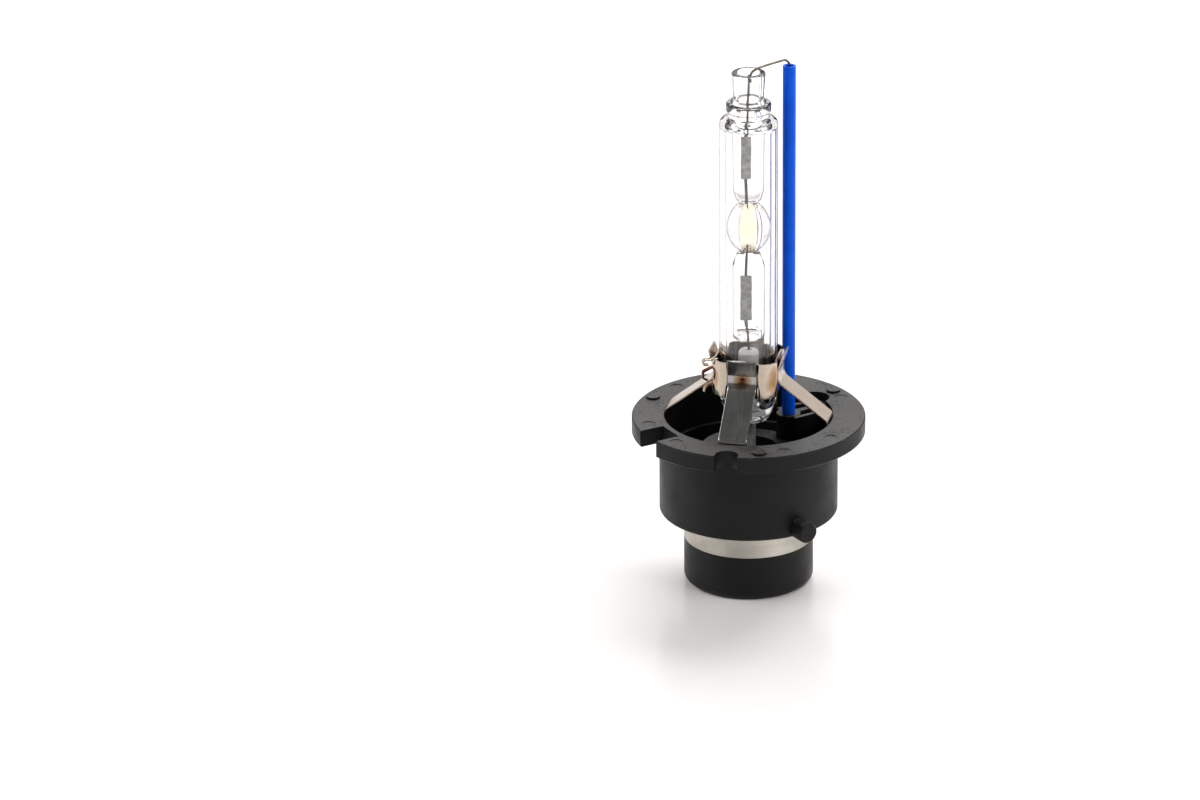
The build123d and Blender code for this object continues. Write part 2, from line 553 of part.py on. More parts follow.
def make_arc_tube(sealed_metal):
    """Quartz arc tube: ball with its discharge space, two sealed legs and open leg ends."""
    ends = {
        LIGHT_CENTRE + SEAL_GAP: UPPER_SEAL_TOP,
        LIGHT_CENTRE - SEAL_GAP: LOWER_SEAL_BOTTOM,
    }
    with BuildPart() as arc_tube:
        with BuildSketch(Plane.XZ):
            with Locations((0, LIGHT_CENTRE)):
                Ellipse(BALL_RADIUS, BALL_HALF_HEIGHT)
            for shoulder, end in ends.items():
                corners = [(0, end), (0, shoulder), (SEAL_RADIUS, shoulder), (SEAL_RADIUS, end)]
                with BuildLine():
                    FilletPolyline(*corners, radius=[0, 0, SEAL_SHOULDER, 0], close=True)
                make_face()
            with Locations((0, LIGHT_CENTRE)):
                Ellipse(CAVITY_BALL_RADIUS, CAVITY_BALL_HALF_HEIGHT, mode=Mode.SUBTRACT)
            split(bisect_by=Plane.YZ, keep=Keep.TOP)
        revolve(axis=Axis.Z)
        with BuildSketch(Plane.XY.offset(UPPER_SEAL_TOP)):
            Circle(SEAL_BORE_RADIUS)
        extrude(amount=-UPPER_BORE_DEPTH, mode=Mode.SUBTRACT)
        with BuildSketch(Plane.XY.offset(LOWER_SEAL_BOTTOM)):
            Circle(SEAL_BORE_RADIUS)
        extrude(amount=LOWER_BORE_DEPTH, mode=Mode.SUBTRACT)
        for piece in sealed_metal:
            add(piece.part, mode=Mode.SUBTRACT)
    return arc_tube


def make_lower_stem(lower_lead):
    """Domed glass bead that carries the lower lead through the jacket's foot."""
    with BuildPart() as lower_stem:
        with BuildSketch(Plane.XY.offset(STEM_BOTTOM)):
            Circle(STEM_RADIUS)
        extrude(amount=STEM_TOP - STEM_BOTTOM)
        fillet(lower_stem.faces().sort_by(Axis.Z)[-1].edges(), radius=STEM_DOME)
        add(lower_lead.part, mode=Mode.SUBTRACT)
    return lower_stem


# ---------------------------------------------------------------- metal inside the glass
def make_rod(bottom, top, radius):
    """Straight round rod on the lamp axis."""
    with BuildPart() as rod:
        with BuildSketch(Plane.XY.offset(bottom)):
            Circle(radius)
        extrude(amount=top - bottom)
    return rod


def make_foil(bottom, length, turn):
    """Thin sealing foil on the lamp axis, turned about it."""
    with BuildPart() as foil:
        with BuildSketch(Plane.XY.offset(bottom)):
            with PolarLocations(0, 1, start_angle=turn):
                Rectangle(FOIL_WIDTH, FOIL_THICKNESS)
        extrude(amount=length)
    return foil


def make_drops(angles, radius):
    """Small beads lying on the floor of the discharge space."""
    with BuildPart() as drops:
        for angle in angles:
            x, y = on_circle(PELLET_ORBIT, angle)
            with Locations((x, y, LIGHT_CENTRE - PELLET_DROP)):
                Sphere(radius)
    return drops


# ---------------------------------------------------------------- wires and insulators
def make_lead_insulator():
    """Tube round the lower lead between the glass and the connector cap."""
    with BuildPart() as lead_insulator:
        with BuildSketch(Plane.XY.offset(INSULATOR_BOTTOM)):
            Circle(INSULATOR_RADIUS)
            Circle(LEAD_RADIUS + WIRE_FIT, mode=Mode.SUBTRACT)
        extrude(amount=STEM_BOTTOM - INSULATOR_BOTTOM)
    return lead_insulator


def make_insulating_sleeve():
    """Ceramic tube round the return wire, standing in the housing's socket."""
    with BuildPart() as insulating_sleeve:
        with BuildSketch(Plane.XY.offset(FLOOR_TOP)):
            with PolarLocations(SLEEVE_ORBIT, 1, start_angle=SLEEVE_ANGLE):
                Circle(SLEEVE_RADIUS)
                Circle(SLEEVE_BORE_RADIUS, mode=Mode.SUBTRACT)
        extrude(amount=SLEEVE_TOP - FLOOR_TOP)
    return insulating_sleeve


def make_return_wire(contact_ring):
    """Stiff wire: lapped on the upper lead, arched into the sleeve, down to the contact ring."""
    lap = LEAD_RADIUS + WIRE_RADIUS
    lap_end = UPPER_LEAD_TOP - WIRE_LAP_END
    route = [
        (lap, lap_end - WIRE_LAP_LENGTH),
        (lap, lap_end),
        (SLEEVE_ORBIT / 4, WIRE_ARCH - WIRE_ARCH_FALL),
        (SLEEVE_ORBIT - WIRE_BEND, WIRE_ARCH),
        (SLEEVE_ORBIT, WIRE_ARCH - WIRE_ARCH_FALL),
        (SLEEVE_ORBIT, RING_TAP_LEVEL),
        (CAP_RADIUS - RING_THICKNESS / 2, RING_TAP_LEVEL),
    ]
    bends = [*WIRE_ARCH_BENDS, WIRE_BEND]
    with BuildPart() as return_wire:
        with BuildLine(radial_plane(SLEEVE_ANGLE)) as path:
            FilletPolyline(*route, radius=bends)
        with BuildSketch(Plane(origin=path.line @ 0, z_dir=path.line % 0)):
            Circle(WIRE_RADIUS)
        sweep(path=path.line)
        add(contact_ring.part, mode=Mode.SUBTRACT)
    return return_wire


# ---------------------------------------------------------------- all pieces
os.makedirs("parts", exist_ok=True)

centre_contact = make_centre_contact()
contact_ring = make_contact_ring()
write_step(make_base_housing(), "base_housing")
write_step(make_connector_cap(centre_contact), "connector_cap")
write_step(contact_ring, "contact_ring")
write_step(centre_contact, "centre_contact")

leg_angles = {"front": -90, "right": 0, "back": 90, "left": 180}
for side, leg_angle in leg_angles.items():
    write_step(make_support_leg(leg_angle), f"support_leg_{side}")
write_step(make_clamp_band(), "clamp_band")

upper_electrode = make_rod(UPPER_TIP, UPPER_FOIL_BOTTOM, ELECTRODE_RADIUS)
lower_electrode = make_rod(LOWER_FOIL_TOP, LOWER_TIP, ELECTRODE_RADIUS)
upper_foil = make_foil(UPPER_FOIL_BOTTOM, UPPER_FOIL_LENGTH, UPPER_FOIL_TURN)
lower_foil = make_foil(LOWER_FOIL_BOTTOM, LOWER_FOIL_LENGTH, LOWER_FOIL_TURN)
upper_lead = make_rod(UPPER_FOIL_TOP, UPPER_LEAD_TOP, LEAD_RADIUS)
lower_lead = make_rod(PIN_TOP, LOWER_FOIL_BOTTOM, LEAD_RADIUS)
sealed_metal = {
    "upper_electrode": upper_electrode,
    "lower_electrode": lower_electrode,
    "upper_foil": upper_foil,
    "lower_foil": lower_foil,
    "upper_lead": upper_lead,
    "lower_lead": lower_lead,
}
for name, piece in sealed_metal.items():
    write_step(piece, name)
write_step(make_arc_tube(sealed_metal.values()), "arc_tube")
write_step(make_outer_envelope(), "outer_envelope")
write_step(make_lower_stem(lower_lead), "lower_stem")
write_step(make_drops(PELLET_ANGLES, PELLET_RADIUS), "salt_pellets")
write_step(make_drops((MERCURY_ANGLE,), MERCURY_RADIUS), "mercury_bead")

write_step(make_lead_insulator(), "lead_insulator")
write_step(make_insulating_sleeve(), "insulating_sleeve")
write_step(make_return_wire(contact_ring), "return_wire")
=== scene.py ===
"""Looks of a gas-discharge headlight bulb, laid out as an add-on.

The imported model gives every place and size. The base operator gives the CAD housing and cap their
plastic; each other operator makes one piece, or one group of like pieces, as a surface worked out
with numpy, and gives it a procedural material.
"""
import math
from functools import partial

import bmesh
import bpy
import numpy as np
from bpy.props import FloatProperty, FloatVectorProperty, StringProperty
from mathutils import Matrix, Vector


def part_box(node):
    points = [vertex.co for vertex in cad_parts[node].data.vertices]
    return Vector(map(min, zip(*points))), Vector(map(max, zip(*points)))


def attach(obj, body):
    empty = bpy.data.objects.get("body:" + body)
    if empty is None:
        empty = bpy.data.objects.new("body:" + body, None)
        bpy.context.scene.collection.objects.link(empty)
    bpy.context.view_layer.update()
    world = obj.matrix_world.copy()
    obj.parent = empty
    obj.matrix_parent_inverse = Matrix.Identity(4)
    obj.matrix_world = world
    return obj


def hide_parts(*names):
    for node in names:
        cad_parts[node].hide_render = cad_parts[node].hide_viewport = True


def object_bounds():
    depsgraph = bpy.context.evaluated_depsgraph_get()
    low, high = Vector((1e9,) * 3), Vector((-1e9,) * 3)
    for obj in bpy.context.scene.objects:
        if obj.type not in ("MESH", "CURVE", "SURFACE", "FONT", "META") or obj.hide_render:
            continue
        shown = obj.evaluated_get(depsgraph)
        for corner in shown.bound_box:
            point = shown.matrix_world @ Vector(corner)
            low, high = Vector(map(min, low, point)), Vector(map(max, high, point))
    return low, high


bl_info = {
    "name": "Discharge headlight bulb",
    "version": (1, 0, 0),
    "blender": (4, 5, 0),
    "location": "View3D > Sidebar > Bulb",
    "description": "Makes the finished pieces of a discharge headlight bulb round its CAD frame",
    "category": "Object",
}

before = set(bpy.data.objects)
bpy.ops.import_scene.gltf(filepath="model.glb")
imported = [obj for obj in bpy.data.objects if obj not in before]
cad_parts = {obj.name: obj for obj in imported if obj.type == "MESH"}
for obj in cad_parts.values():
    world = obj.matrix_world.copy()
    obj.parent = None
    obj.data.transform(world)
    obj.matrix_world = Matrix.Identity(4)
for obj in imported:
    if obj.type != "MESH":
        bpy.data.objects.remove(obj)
cad_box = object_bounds()

MM = 0.001
SEAT_BOSS_HEIGHT = 0.3 * MM
ROUND_STEPS = 128              # faces round a glass or metal part
LEG_ANGLES = {"front": -90, "right": 0, "back": 90, "left": 180}
WELD_HEIGHT = 6.2 * MM         # middle of the land welded to the band
HOOK_ANGLE = -152              # the band's lock, in degrees
SLEEVE_ANGLE = 45
BORE = 1.4 * MM                # radius of the discharge space and of the open leg ends
FOIL_OFFSET = 0.25 * MM        # off the axis, at a foil
ARC_OFFSET = 0.15 * MM         # off the axis, at an electrode's tip


# ---------------------------------------------------------------- numbers and lines
def span(node):
    """Lowest and highest corner of a CAD node as numpy arrays."""
    low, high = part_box(node)
    return np.array(low), np.array(high)


def rounded(corners, steps=8, closed=False):
    """Line through corners (x, y, bend), where each corner becomes an arc of radius bend.

    The arc's ends lie bend * tan(turn / 2) from the corner, at most half of either side, and its
    points are A * sin((1 - s) * turn) / sin(turn) + B * sin(s * turn) / sin(turn) from its centre.
    """
    points = np.array([corner[:2] for corner in corners], float)
    line = []
    for index, corner in enumerate(points):
        bend = corners[index][2]
        if bend == 0 or (not closed and index in (0, len(points) - 1)):
            line.append(corner[None])
            continue
        back = points[index - 1] - corner
        ahead = points[(index + 1) % len(points)] - corner
        back_length = np.linalg.norm(back)
        ahead_length = np.linalg.norm(ahead)
        back, ahead = back / back_length, ahead / ahead_length
        turn = math.pi - math.acos(np.clip(back @ ahead, -1, 1))
        if turn < 1e-4:
            line.append(corner[None])
            continue
        tangent = min(bend * math.tan(turn / 2), 0.48 * back_length, 0.48 * ahead_length)
        radius = tangent / math.tan(turn / 2)
        middle = (back + ahead) / np.linalg.norm(back + ahead)
        centre = corner + middle * math.hypot(radius, tangent)
        start = corner + back * tangent - centre
        end = corner + ahead * tangent - centre
        share = np.linspace(0, 1, steps)[:, None]
        arc = (np.sin((1 - share) * turn) * start + np.sin(share * turn) * end) / math.sin(turn)
        line.append(centre + arc)
    return np.concatenate(line)


def evenly(line, count, closed=False):
    """The same line through points spaced evenly along its length."""
    if closed:
        line = np.concatenate([line, line[:1]])
    steps = np.linalg.norm(np.diff(line, axis=0), axis=1)
    length = np.concatenate([[0], np.cumsum(steps)])
    where = np.linspace(0, length[-1], count, endpoint=not closed)
    return np.stack([np.interp(where, length, line[:, axis]) for axis in range(line.shape[1])], 1)


def directions(line, closed=False):
    """Unit direction of a line at each of its points, from the points on either side."""
    if closed:
        ahead, back = np.roll(line, -1, axis=0), np.roll(line, 1, axis=0)
    else:
        ahead = np.concatenate([line[1:], line[-1:]])
        back = np.concatenate([line[:1], line[:-1]])
    step = ahead - back
    return step / np.linalg.norm(step, axis=1, keepdims=True)


def ellipse_arc(radius, half_height, centre, start, end, steps=48):
    """Points (radius * cos a, centre + half_height * sin a) for a from start to end, in degrees."""
    turn = np.radians(np.linspace(start, end, steps))
    return np.stack([radius * np.cos(turn), centre + half_height * np.sin(turn)], 1)


def ripple(first, second):
    """Smooth uneven waves from -1 to 1: a mean of sines of both parameters at unlike rates."""
    waves = (
        np.sin(3 * first + 1.7 * second)
        + np.sin(5 * first - 2.3 * second + 1.1)
        + np.sin(2 * first + 4.1 * second + 2.6)
    )
    return waves / 3


# ---------------------------------------------------------------- meshes
def shade_smooth(mesh, angle=35):
    """Smooth shading that keeps edges sharper than the angle."""
    mesh.polygons.foreach_set("use_smooth", np.ones(len(mesh.polygons), bool))
    mesh.set_sharp_from_angle(angle=math.radians(angle))


def new_piece(name, vertices, faces, material, outward=False, angle=35):
    """Object from an array of vertices and lists of faces, in place in its mesh.

    Poles and seams are closed by merging points that coincide. With outward, the normals of a
    single closed shell are recalculated to point out of it.
    """
    mesh = bpy.data.meshes.new(name)
    mesh.from_pydata(np.asarray(vertices).tolist(), [], faces)
    work = bmesh.new()
    work.from_mesh(mesh)
    bmesh.ops.remove_doubles(work, verts=work.verts, dist=1e-7)
    if outward:
        bmesh.ops.recalc_face_normals(work, faces=work.faces)
    work.to_mesh(mesh)
    work.free()
    mesh.validate()
    shade_smooth(mesh, angle)
    mesh.materials.append(material)
    piece = bpy.data.objects.new(name, mesh)
    bpy.context.scene.collection.objects.link(piece)
    return piece


def finished(replaced, suffix, shape, material, slot, **shading):
    """New piece from (vertices, faces) in the place of a CAD node, riding on the one body."""
    piece = new_piece(f"{replaced}_{suffix}", *shape, material, **shading)
    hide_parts(replaced)
    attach(piece, "root")


def grid_faces(rows, columns, wrap_rows, wrap_columns, first=0):
    """Four-sided faces of a grid of points, with either way round closed on itself."""
    row = np.arange(rows if wrap_rows else rows - 1)
    column = np.arange(columns if wrap_columns else columns - 1)
    row, column = np.meshgrid(row, column, indexing="ij")
    next_row, next_column = (row + 1) % rows, (column + 1) % columns
    corners = [
        row * columns + column,
        next_row * columns + column,
        next_row * columns + next_column,
        row * columns + next_column,
    ]
    return (np.stack(corners, -1).reshape(-1, 4) + first).tolist()


def turned(profiles, steps=ROUND_STEPS, uneven=None, axis=(0, 0)):
    """Vertices and faces of profiles (radius, height) carried round a vertical axis.

    A point is (radius * cos a, radius * sin a, height). uneven(angle, height) gives a share by
    which the radius there is larger. A profile that is a closed ring repeats its first point.
    """
    angle = np.linspace(0, 2 * math.pi, steps, endpoint=False)[:, None]
    vertices, faces, first = [], [], 0
    for profile in profiles:
        ring = np.allclose(profile[0], profile[-1])
        line = profile[:-1] if ring else profile
        radius, height = line[:, 0][None], line[:, 1][None]
        if uneven is not None:
            radius = radius * (1 + uneven(angle, height))
        level = np.broadcast_to(height, (steps, len(line)))
        x = radius * np.cos(angle) + axis[0]
        y = radius * np.sin(angle) + axis[1]
        vertices.append(np.stack([x, y, level], -1).reshape(-1, 3))
        faces += grid_faces(steps, len(line), True, ring, first)
        first += steps * len(line)
    return np.concatenate(vertices), faces


def skin(points, closed=False):
    """Vertices and faces of a row of sections, each of whose open ends is closed by one face."""
    rows, columns = points.shape[:2]
    faces = grid_faces(rows, columns, closed, True)
    if not closed:
        faces.append(list(range(columns)))
        faces.append(list(range((rows - 1) * columns, rows * columns)))
    return points.reshape(-1, 3), faces


def swept(centre, side, up, section, closed=False):
    """Section carried along a path. A point is centre + section x * side + section y * up."""
    points = centre[:, None] + section[:, :1] * side[:, None] + section[:, 1:] * up[:, None]
    return skin(points, closed)


def joined(*parts):
    """Several (vertices, faces) as one."""
    vertices, faces, first = [], [], 0
    for points, polygons in parts:
        vertices.append(points)
        faces += [[corner + first for corner in polygon] for polygon in polygons]
        first += len(points)
    return np.concatenate(vertices), faces


def strip_section(width, thickness, bend):
    """Rounded rectangle of a strip: x across its width, y through its thickness."""
    half, rise = width / 2, thickness / 2
    corners = [(-half, -rise, bend), (half, -rise, bend), (half, rise, bend), (-half, rise, bend)]
    return rounded(corners, steps=4, closed=True)


def ring_profile(corners, steps=8):
    """Closed profile through corners that ends on its first point."""
    profile = rounded(corners, steps, closed=True)
    return np.concatenate([profile, profile[:1]])


def tube_corners(bore, outer, low, high, edge, bore_edge):
    """Corners of a tube's wall, its edges rounded by edge outside and bore_edge inside."""
    inside, outside = [(bore, low, bore_edge)], [(outer, low, edge), (outer, high, edge)]
    return inside + outside + [(bore, high, bore_edge)]


def round_section(radius):
    """Circle of 20 points as a section."""
    turn = np.linspace(0, 2 * math.pi, 20, endpoint=False)
    return np.stack([radius * np.cos(turn), radius * np.sin(turn)], 1)


def outward_at(angle):
    """Unit vector away from the lamp axis at an angle in degrees from +X."""
    turn = math.radians(angle)
    return np.array([math.cos(turn), math.sin(turn), 0.0])


def weld_point(angle, distance):
    """Point at the height of the welds, at an angle and a distance from the lamp axis."""
    return outward_at(angle) * distance + np.array([0, 0, WELD_HEIGHT])


def upright_path(line, angle):
    """A line (distance from the axis, height) stood up in the plane at the given angle."""
    return line[:, :1] * outward_at(angle) + line[:, 1:] * np.array([0.0, 0.0, 1.0])


def wire(line, angle, radius):
    """Vertices and faces of a round wire whose line lies in the upright plane at the angle."""
    path = upright_path(line, angle)
    along = directions(path)
    side = np.broadcast_to(np.cross(outward_at(angle), (0, 0, 1)), path.shape)
    return swept(path, side, np.cross(along, side), round_section(radius))


# ---------------------------------------------------------------- materials
MULTIPLY = {"data_type": "RGBA", "blend_type": "MULTIPLY", "out": 2}


def colour(code):
    """Linear RGBA of an sRGB hex colour."""
    code = code.lstrip("#")
    channels = np.array([int(code[i : i + 2], 16) for i in (0, 2, 4)]) / 255
    linear = np.where(channels <= 0.04045, channels / 12.92, ((channels + 0.055) / 1.055) ** 2.4)
    return (*linear, 1.0)


def times(code, factor):
    """Linear RGBA of an sRGB hex colour made lighter or darker by a factor."""
    return [channel * factor for channel in colour(code)[:3]] + [1.0]


def grey(value):
    """A grey that stands for a plain number in a ramp."""
    return (value, value, value, 1.0)


def between(first, second, low=0.3, high=0.7):
    """Ramp stops of two colours or plain numbers, by default at the ends of a noise's range."""
    shades = [grey(shade) if isinstance(shade, float) else shade for shade in (first, second)]
    return list(zip((low, high), shades))


def feed(material, socket, value):
    """Join an output to an input, or put a plain value on the input."""
    if isinstance(value, bpy.types.NodeSocket):
        material.node_tree.links.new(value, socket)
    else:
        socket.default_value = value


def node(material, kind, inputs=None, stops=None, out=0, **settings):
    """Add one shader node and return one of its outputs.

    A setting is an attribute of the node, or an input: another node's output, or a value. Inputs
    hold those whose name is no keyword, and stops are those of a ramp.
    """
    made = material.node_tree.nodes.new("ShaderNode" + kind)
    for key, value in settings.items():
        if hasattr(made, key):
            setattr(made, key, value)
        else:
            feed(material, made.inputs[key.replace("_", " ")], value)
    for socket, value in (inputs or {}).items():
        feed(material, made.inputs[socket], value)
    if stops:
        elements = made.color_ramp.elements
        while len(elements) < len(stops):
            elements.new(0.5)
        for element, (position, shade) in zip(elements, stops):
            element.position = position
            element.color = shade
    return made.outputs[out]


def shader_inputs(material, **values):
    """Feed the Principled shader's inputs, each named with _ for a space."""
    shader = material.node_tree.nodes["Principled BSDF"]
    for key, value in values.items():
        feed(material, shader.inputs[key.replace("_", " ")], value)


def material_with(name, **values):
    """New material with one Principled shader, its node adder and its object coordinates."""
    material = bpy.data.materials.new(name)
    material.use_nodes = True
    shader_inputs(material, **values)
    add = partial(node, material)
    return material, add, add("TexCoord", out="Object")


def clouded(add, where, dark, light, low=0.3, high=0.7, **noise):
    """A noise, and a colour that drifts with it between two colours."""
    cloud = add("TexNoise", Vector=where, **noise)
    return cloud, add("ValToRGB", {"Fac": cloud}, between(dark, light, low, high))


def moulded_plastic(name, base, roughness):
    """Black heat-resistant plastic (PPS), injection moulded in a spark-eroded tool.

    It gives a satin sheen broken by fine grain, with faint flow marks, and pale dust on top faces;
    the paler top faces also hold painted sheen, where they would catch the light.
    """
    material, add, where = material_with(name, IOR=1.5, Specular_IOR_Level=0.18)
    # Flow marks a few millimetres long.
    flow = add("TexNoise", Vector=where, Scale=260.0, Detail=5.0)
    stops = [(0.3, colour(base)), (0.72, times(base, 1.5))]
    tone = add("ValToRGB", {"Fac": flow}, stops)
    # Dust in specks of 0.2 mm, only where a face looks up; the same paling is also painted sheen on
    # top faces.
    normal = add("NewGeometry", out="Normal")
    up = add("SeparateXYZ", Vector=normal, out="Z")
    specks = add("TexNoise", Vector=where, Scale=2600.0, Detail=6.0)
    patches = add("Math", {0: specks, 1: flow}, operation="ADD")
    dust_and_sheen = add("Math", {0: up, 1: patches}, operation="MULTIPLY")
    dust_and_sheen_share = add("ValToRGB", {"Fac": dust_and_sheen}, between(0.02, 0.22, 0.75, 1.0))
    # Pale grey for dust and for painted sheen on faces that look up.
    pale = colour("#8d8b88")
    dusty_with_painted_sheen = add("Mix", {0: dust_and_sheen_share, 6: tone, 7: pale}, data_type="RGBA", out=2)
    sheen = add("ValToRGB", {"Fac": flow}, between(roughness - 0.05, roughness + 0.12))
    # Grain of about 0.3 mm, three times the real one, so that it shows.
    grain = add("TexNoise", Vector=where, Scale=3400.0, Detail=4.0)
    wave = add("TexNoise", Vector=where, Scale=420.0, Detail=2.0)
    fine = add("Bump", Height=grain, Strength=0.35, Distance=0.00005)
    bump = add("Bump", Height=wave, Normal=fine, Strength=0.2, Distance=0.0002)
    shader_inputs(material, Base_Color=dusty_with_painted_sheen, Roughness=sheen, Normal=bump)
    return material


def rolled_steel(name, base, across, spots, roughness):
    """Stainless spring strip, cold rolled and spot welded.

    It gives a bright streaky sheen, with straw, brown and grey heat tint round each weld, and the
    same browns as painted reflection round spots where there is no weld.
    across is the axis across the strip: 0, 1 or 2. spots are (place, radius): the tint fades out
    at about the radius.
    """
    material, add, where = material_with(name, Metallic=1.0, Anisotropic=0.35)
    # Rolling lines 0.07 mm apart and 2 mm long.
    stretch = np.where(np.arange(3) == across, 14000.0, 500.0)
    lines = add("Mapping", Vector=where, Scale=stretch)
    grain = add("TexNoise", Vector=lines, Scale=1.0, Detail=4.0)
    blotch = add("TexNoise", Vector=where, Scale=320.0, Detail=2.0)
    tone = add("ValToRGB", {"Fac": grain}, between(times(base, 0.82), colour(base)))
    heat_and_painted_tints = [
        (0.3, colour("#6b4128")),
        (0.45, colour("#96684a")),
        (0.65, colour("#c09a7a")),
        (0.9, colour("#ead9c4")),
        (1.0, grey(1.0)),
    ]
    for spot, radius in spots:
        away = add("VectorMath", {0: where, 1: spot}, operation="DISTANCE", out="Value")
        near = add("Math", {0: away, 1: radius}, operation="DIVIDE")
        wobble = add("Math", {0: blotch, 1: 0.5, 2: near}, operation="MULTIPLY_ADD")
        burn_and_painted_tint = add("ValToRGB", {"Fac": wobble}, heat_and_painted_tints)
        tone = add("Mix", {0: 1.0, 6: tone, 7: burn_and_painted_tint}, **MULTIPLY)
    rough = add("ValToRGB", {"Fac": grain}, between(roughness - 0.05, roughness + 0.07))
    bump = add("Bump", Height=grain, Strength=0.05, Distance=0.00002)
    shader_inputs(material, Base_Color=tone, Roughness=rough, Normal=bump)
    return material


def turned_metal(name, base, roughness, lines_per_mm):
    """Brass turned on a lathe and nickel plated: fine rings give a soft vertical glint."""
    material, add, where = material_with(name, Metallic=1.0, Anisotropic=0.5)
    stretch = (60.0, 60.0, lines_per_mm * 1000.0)
    level = add("Mapping", Vector=where, Scale=stretch)
    rings = add("TexNoise", Vector=level, Scale=1.0, Detail=3.0)
    ends = times(base, 0.72), colour(base)
    tone = clouded(add, where, *ends, high=0.62, Scale=300.0, Detail=5.0)[1]
    rough = add("ValToRGB", {"Fac": rings}, between(roughness, roughness + 0.14))
    bump = add("Bump", Height=rings, Strength=0.2, Distance=0.00002)
    shader_inputs(material, Base_Color=tone, Roughness=rough, Normal=bump)
    return material


def drawn_wire(name, base, roughness=0.38):
    """Drawn refractory or nickel wire: grey, half dull, with an uneven oxide bloom."""
    material, add, where = material_with(name, Metallic=1.0, Roughness=roughness)
    dark = times(base, 0.55)
    bloom, tone = clouded(add, where, dark, colour(base), 0.35, 0.65, Scale=1400.0, Detail=4.0)
    bump = add("Bump", Height=bloom, Strength=0.2, Distance=0.00003)
    shader_inputs(material, Base_Color=tone, Normal=bump)
    return material


def fused_quartz(name, body, edge, painted_edge_start, stains=(), wave=0.05):
    """Clear fused quartz, drawn and flame worked.

    It gives painted shade as dark lines where the eye grazes a wall, faint draw waves, stains from
    use and other tints.
    stains are (centre height, radius, half height, colour): the stain fills an ellipsoid on the
    lamp axis and fades out over the outer two fifths of its size.
    """
    material, add, where = material_with(name, Roughness=0.0, IOR=1.458, Transmission_Weight=1.0)
    # Painted shade: the colour turns to the edge colour where the eye grazes a wall, for the dark
    # surroundings seen through the glass.
    facing = add("LayerWeight", out="Facing", Blend=0.5)
    clear, dark = colour(body), colour(edge)
    stops = [(0.0, clear), (painted_edge_start, clear), (painted_edge_start + 0.16, dark), (1.0, dark)]
    tone = add("ValToRGB", {"Fac": facing}, stops)
    for centre, radius, half_height, shade in stains:
        place = (0.0, 0.0, -centre / half_height)
        size = (1 / radius, 1 / radius, 1 / half_height)
        inside = add("Mapping", Vector=where, Location=place, Scale=size)
        away = add("VectorMath", {0: inside}, operation="LENGTH", out="Value")
        strong = add("ValToRGB", {"Fac": away}, between(1.0, 0.0, 0.6, 0.99))
        tone = add("Mix", {0: strong, 6: tone, 7: colour(shade)}, **MULTIPLY)
    draw = add("Mapping", Vector=where, Scale=(700.0, 700.0, 90.0))
    waves = add("TexNoise", Vector=draw, Scale=1.0, Detail=2.0)
    bump = add("Bump", Height=waves, Strength=wave, Distance=0.0002)
    shader_inputs(material, Base_Color=tone, Normal=bump)
    return material


def fired_ceramic(name, base, shade, roughness):
    """Coloured steatite tube, extruded and fired: even colour, faint mottle, soft highlight."""
    glaze = {"Roughness": roughness, "IOR": 1.5, "Specular_IOR_Level": 0.12}
    material, add, where = material_with(name, **glaze)
    ends = colour(shade), colour(base)
    tone = clouded(add, where, *ends, high=0.6, Scale=500.0, Detail=5.0)[1]
    grain = add("TexNoise", Vector=where, Scale=4000.0, Detail=2.0)
    bump = add("Bump", Height=grain, Strength=0.15, Distance=0.00003)
    shader_inputs(material, Base_Color=tone, Normal=bump)
    return material


# ---------------------------------------------------------------- settings
def length(name, description, metres):
    """Length setting."""
    return FloatProperty(name=name, description=description, default=metres, unit="LENGTH")


def tint(name, description, code):
    """Colour setting, an sRGB hex code."""
    return StringProperty(name=name, description=description, default=code)


class BulbStageSettings(bpy.types.PropertyGroup):
    azimuth: FloatProperty(
        name="Azimuth",
        description="Camera's way round the bulb, to the right of the key notch",
        default=math.radians(11.3),
        unit="ROTATION",
    )
    elevation: FloatProperty(
        name="Elevation",
        description="Camera's height above level",
        default=math.radians(22.1),
        unit="ROTATION",
    )
    distance: length("Distance", "Camera to flange", 0.9)
    lens: FloatProperty(
        name="Lens",
        description="Focal length on a 36 mm wide sensor",
        default=197.3,
        unit="CAMERA",
    )
    shift: FloatVectorProperty(
        name="Shift",
        description="Lens shift across and up, in sensor widths",
        default=(-0.1238, 0.0114),
        size=2,
    )
    floor: tint("Floor", "Floor colour", "#faf7f6")
    fill: FloatProperty(name="Fill", description="Strength of the surround", default=0.97)
    front: FloatProperty(name="Front", description="Share of it behind the camera", default=0.2)


class BulbBaseSettings(bpy.types.PropertyGroup):
    plastic: tint("Plastic", "Colour of the moulded base", "#060607")
    plastic_roughness: FloatProperty(
        name="Roughness", description="Sheen of the base", default=0.42
    )
    ring: tint("Ring", "Colour of the plated contact ring", "#b9b5ac")


class BulbSteelSettings(bpy.types.PropertyGroup):
    leg_width: length("Leg width", "Width of a leg", 3.95 * MM)
    leg_thickness: length("Leg thickness", "Strip of a leg", 0.3 * MM)
    band_thickness: length("Band thickness", "Strip of the band", 0.25 * MM)
    lobe_rise: length("Lobe rise", "Lobes over flats", 1.1 * MM)
    colour: tint("Steel", "Colour of the strip", "#c2b5a6")
    # Painted shade: the front leg gets a greyer copy of the same steel, for the dim light it
    # reflects.
    front: tint("Front leg", "Its duller strip", "#adacaa")


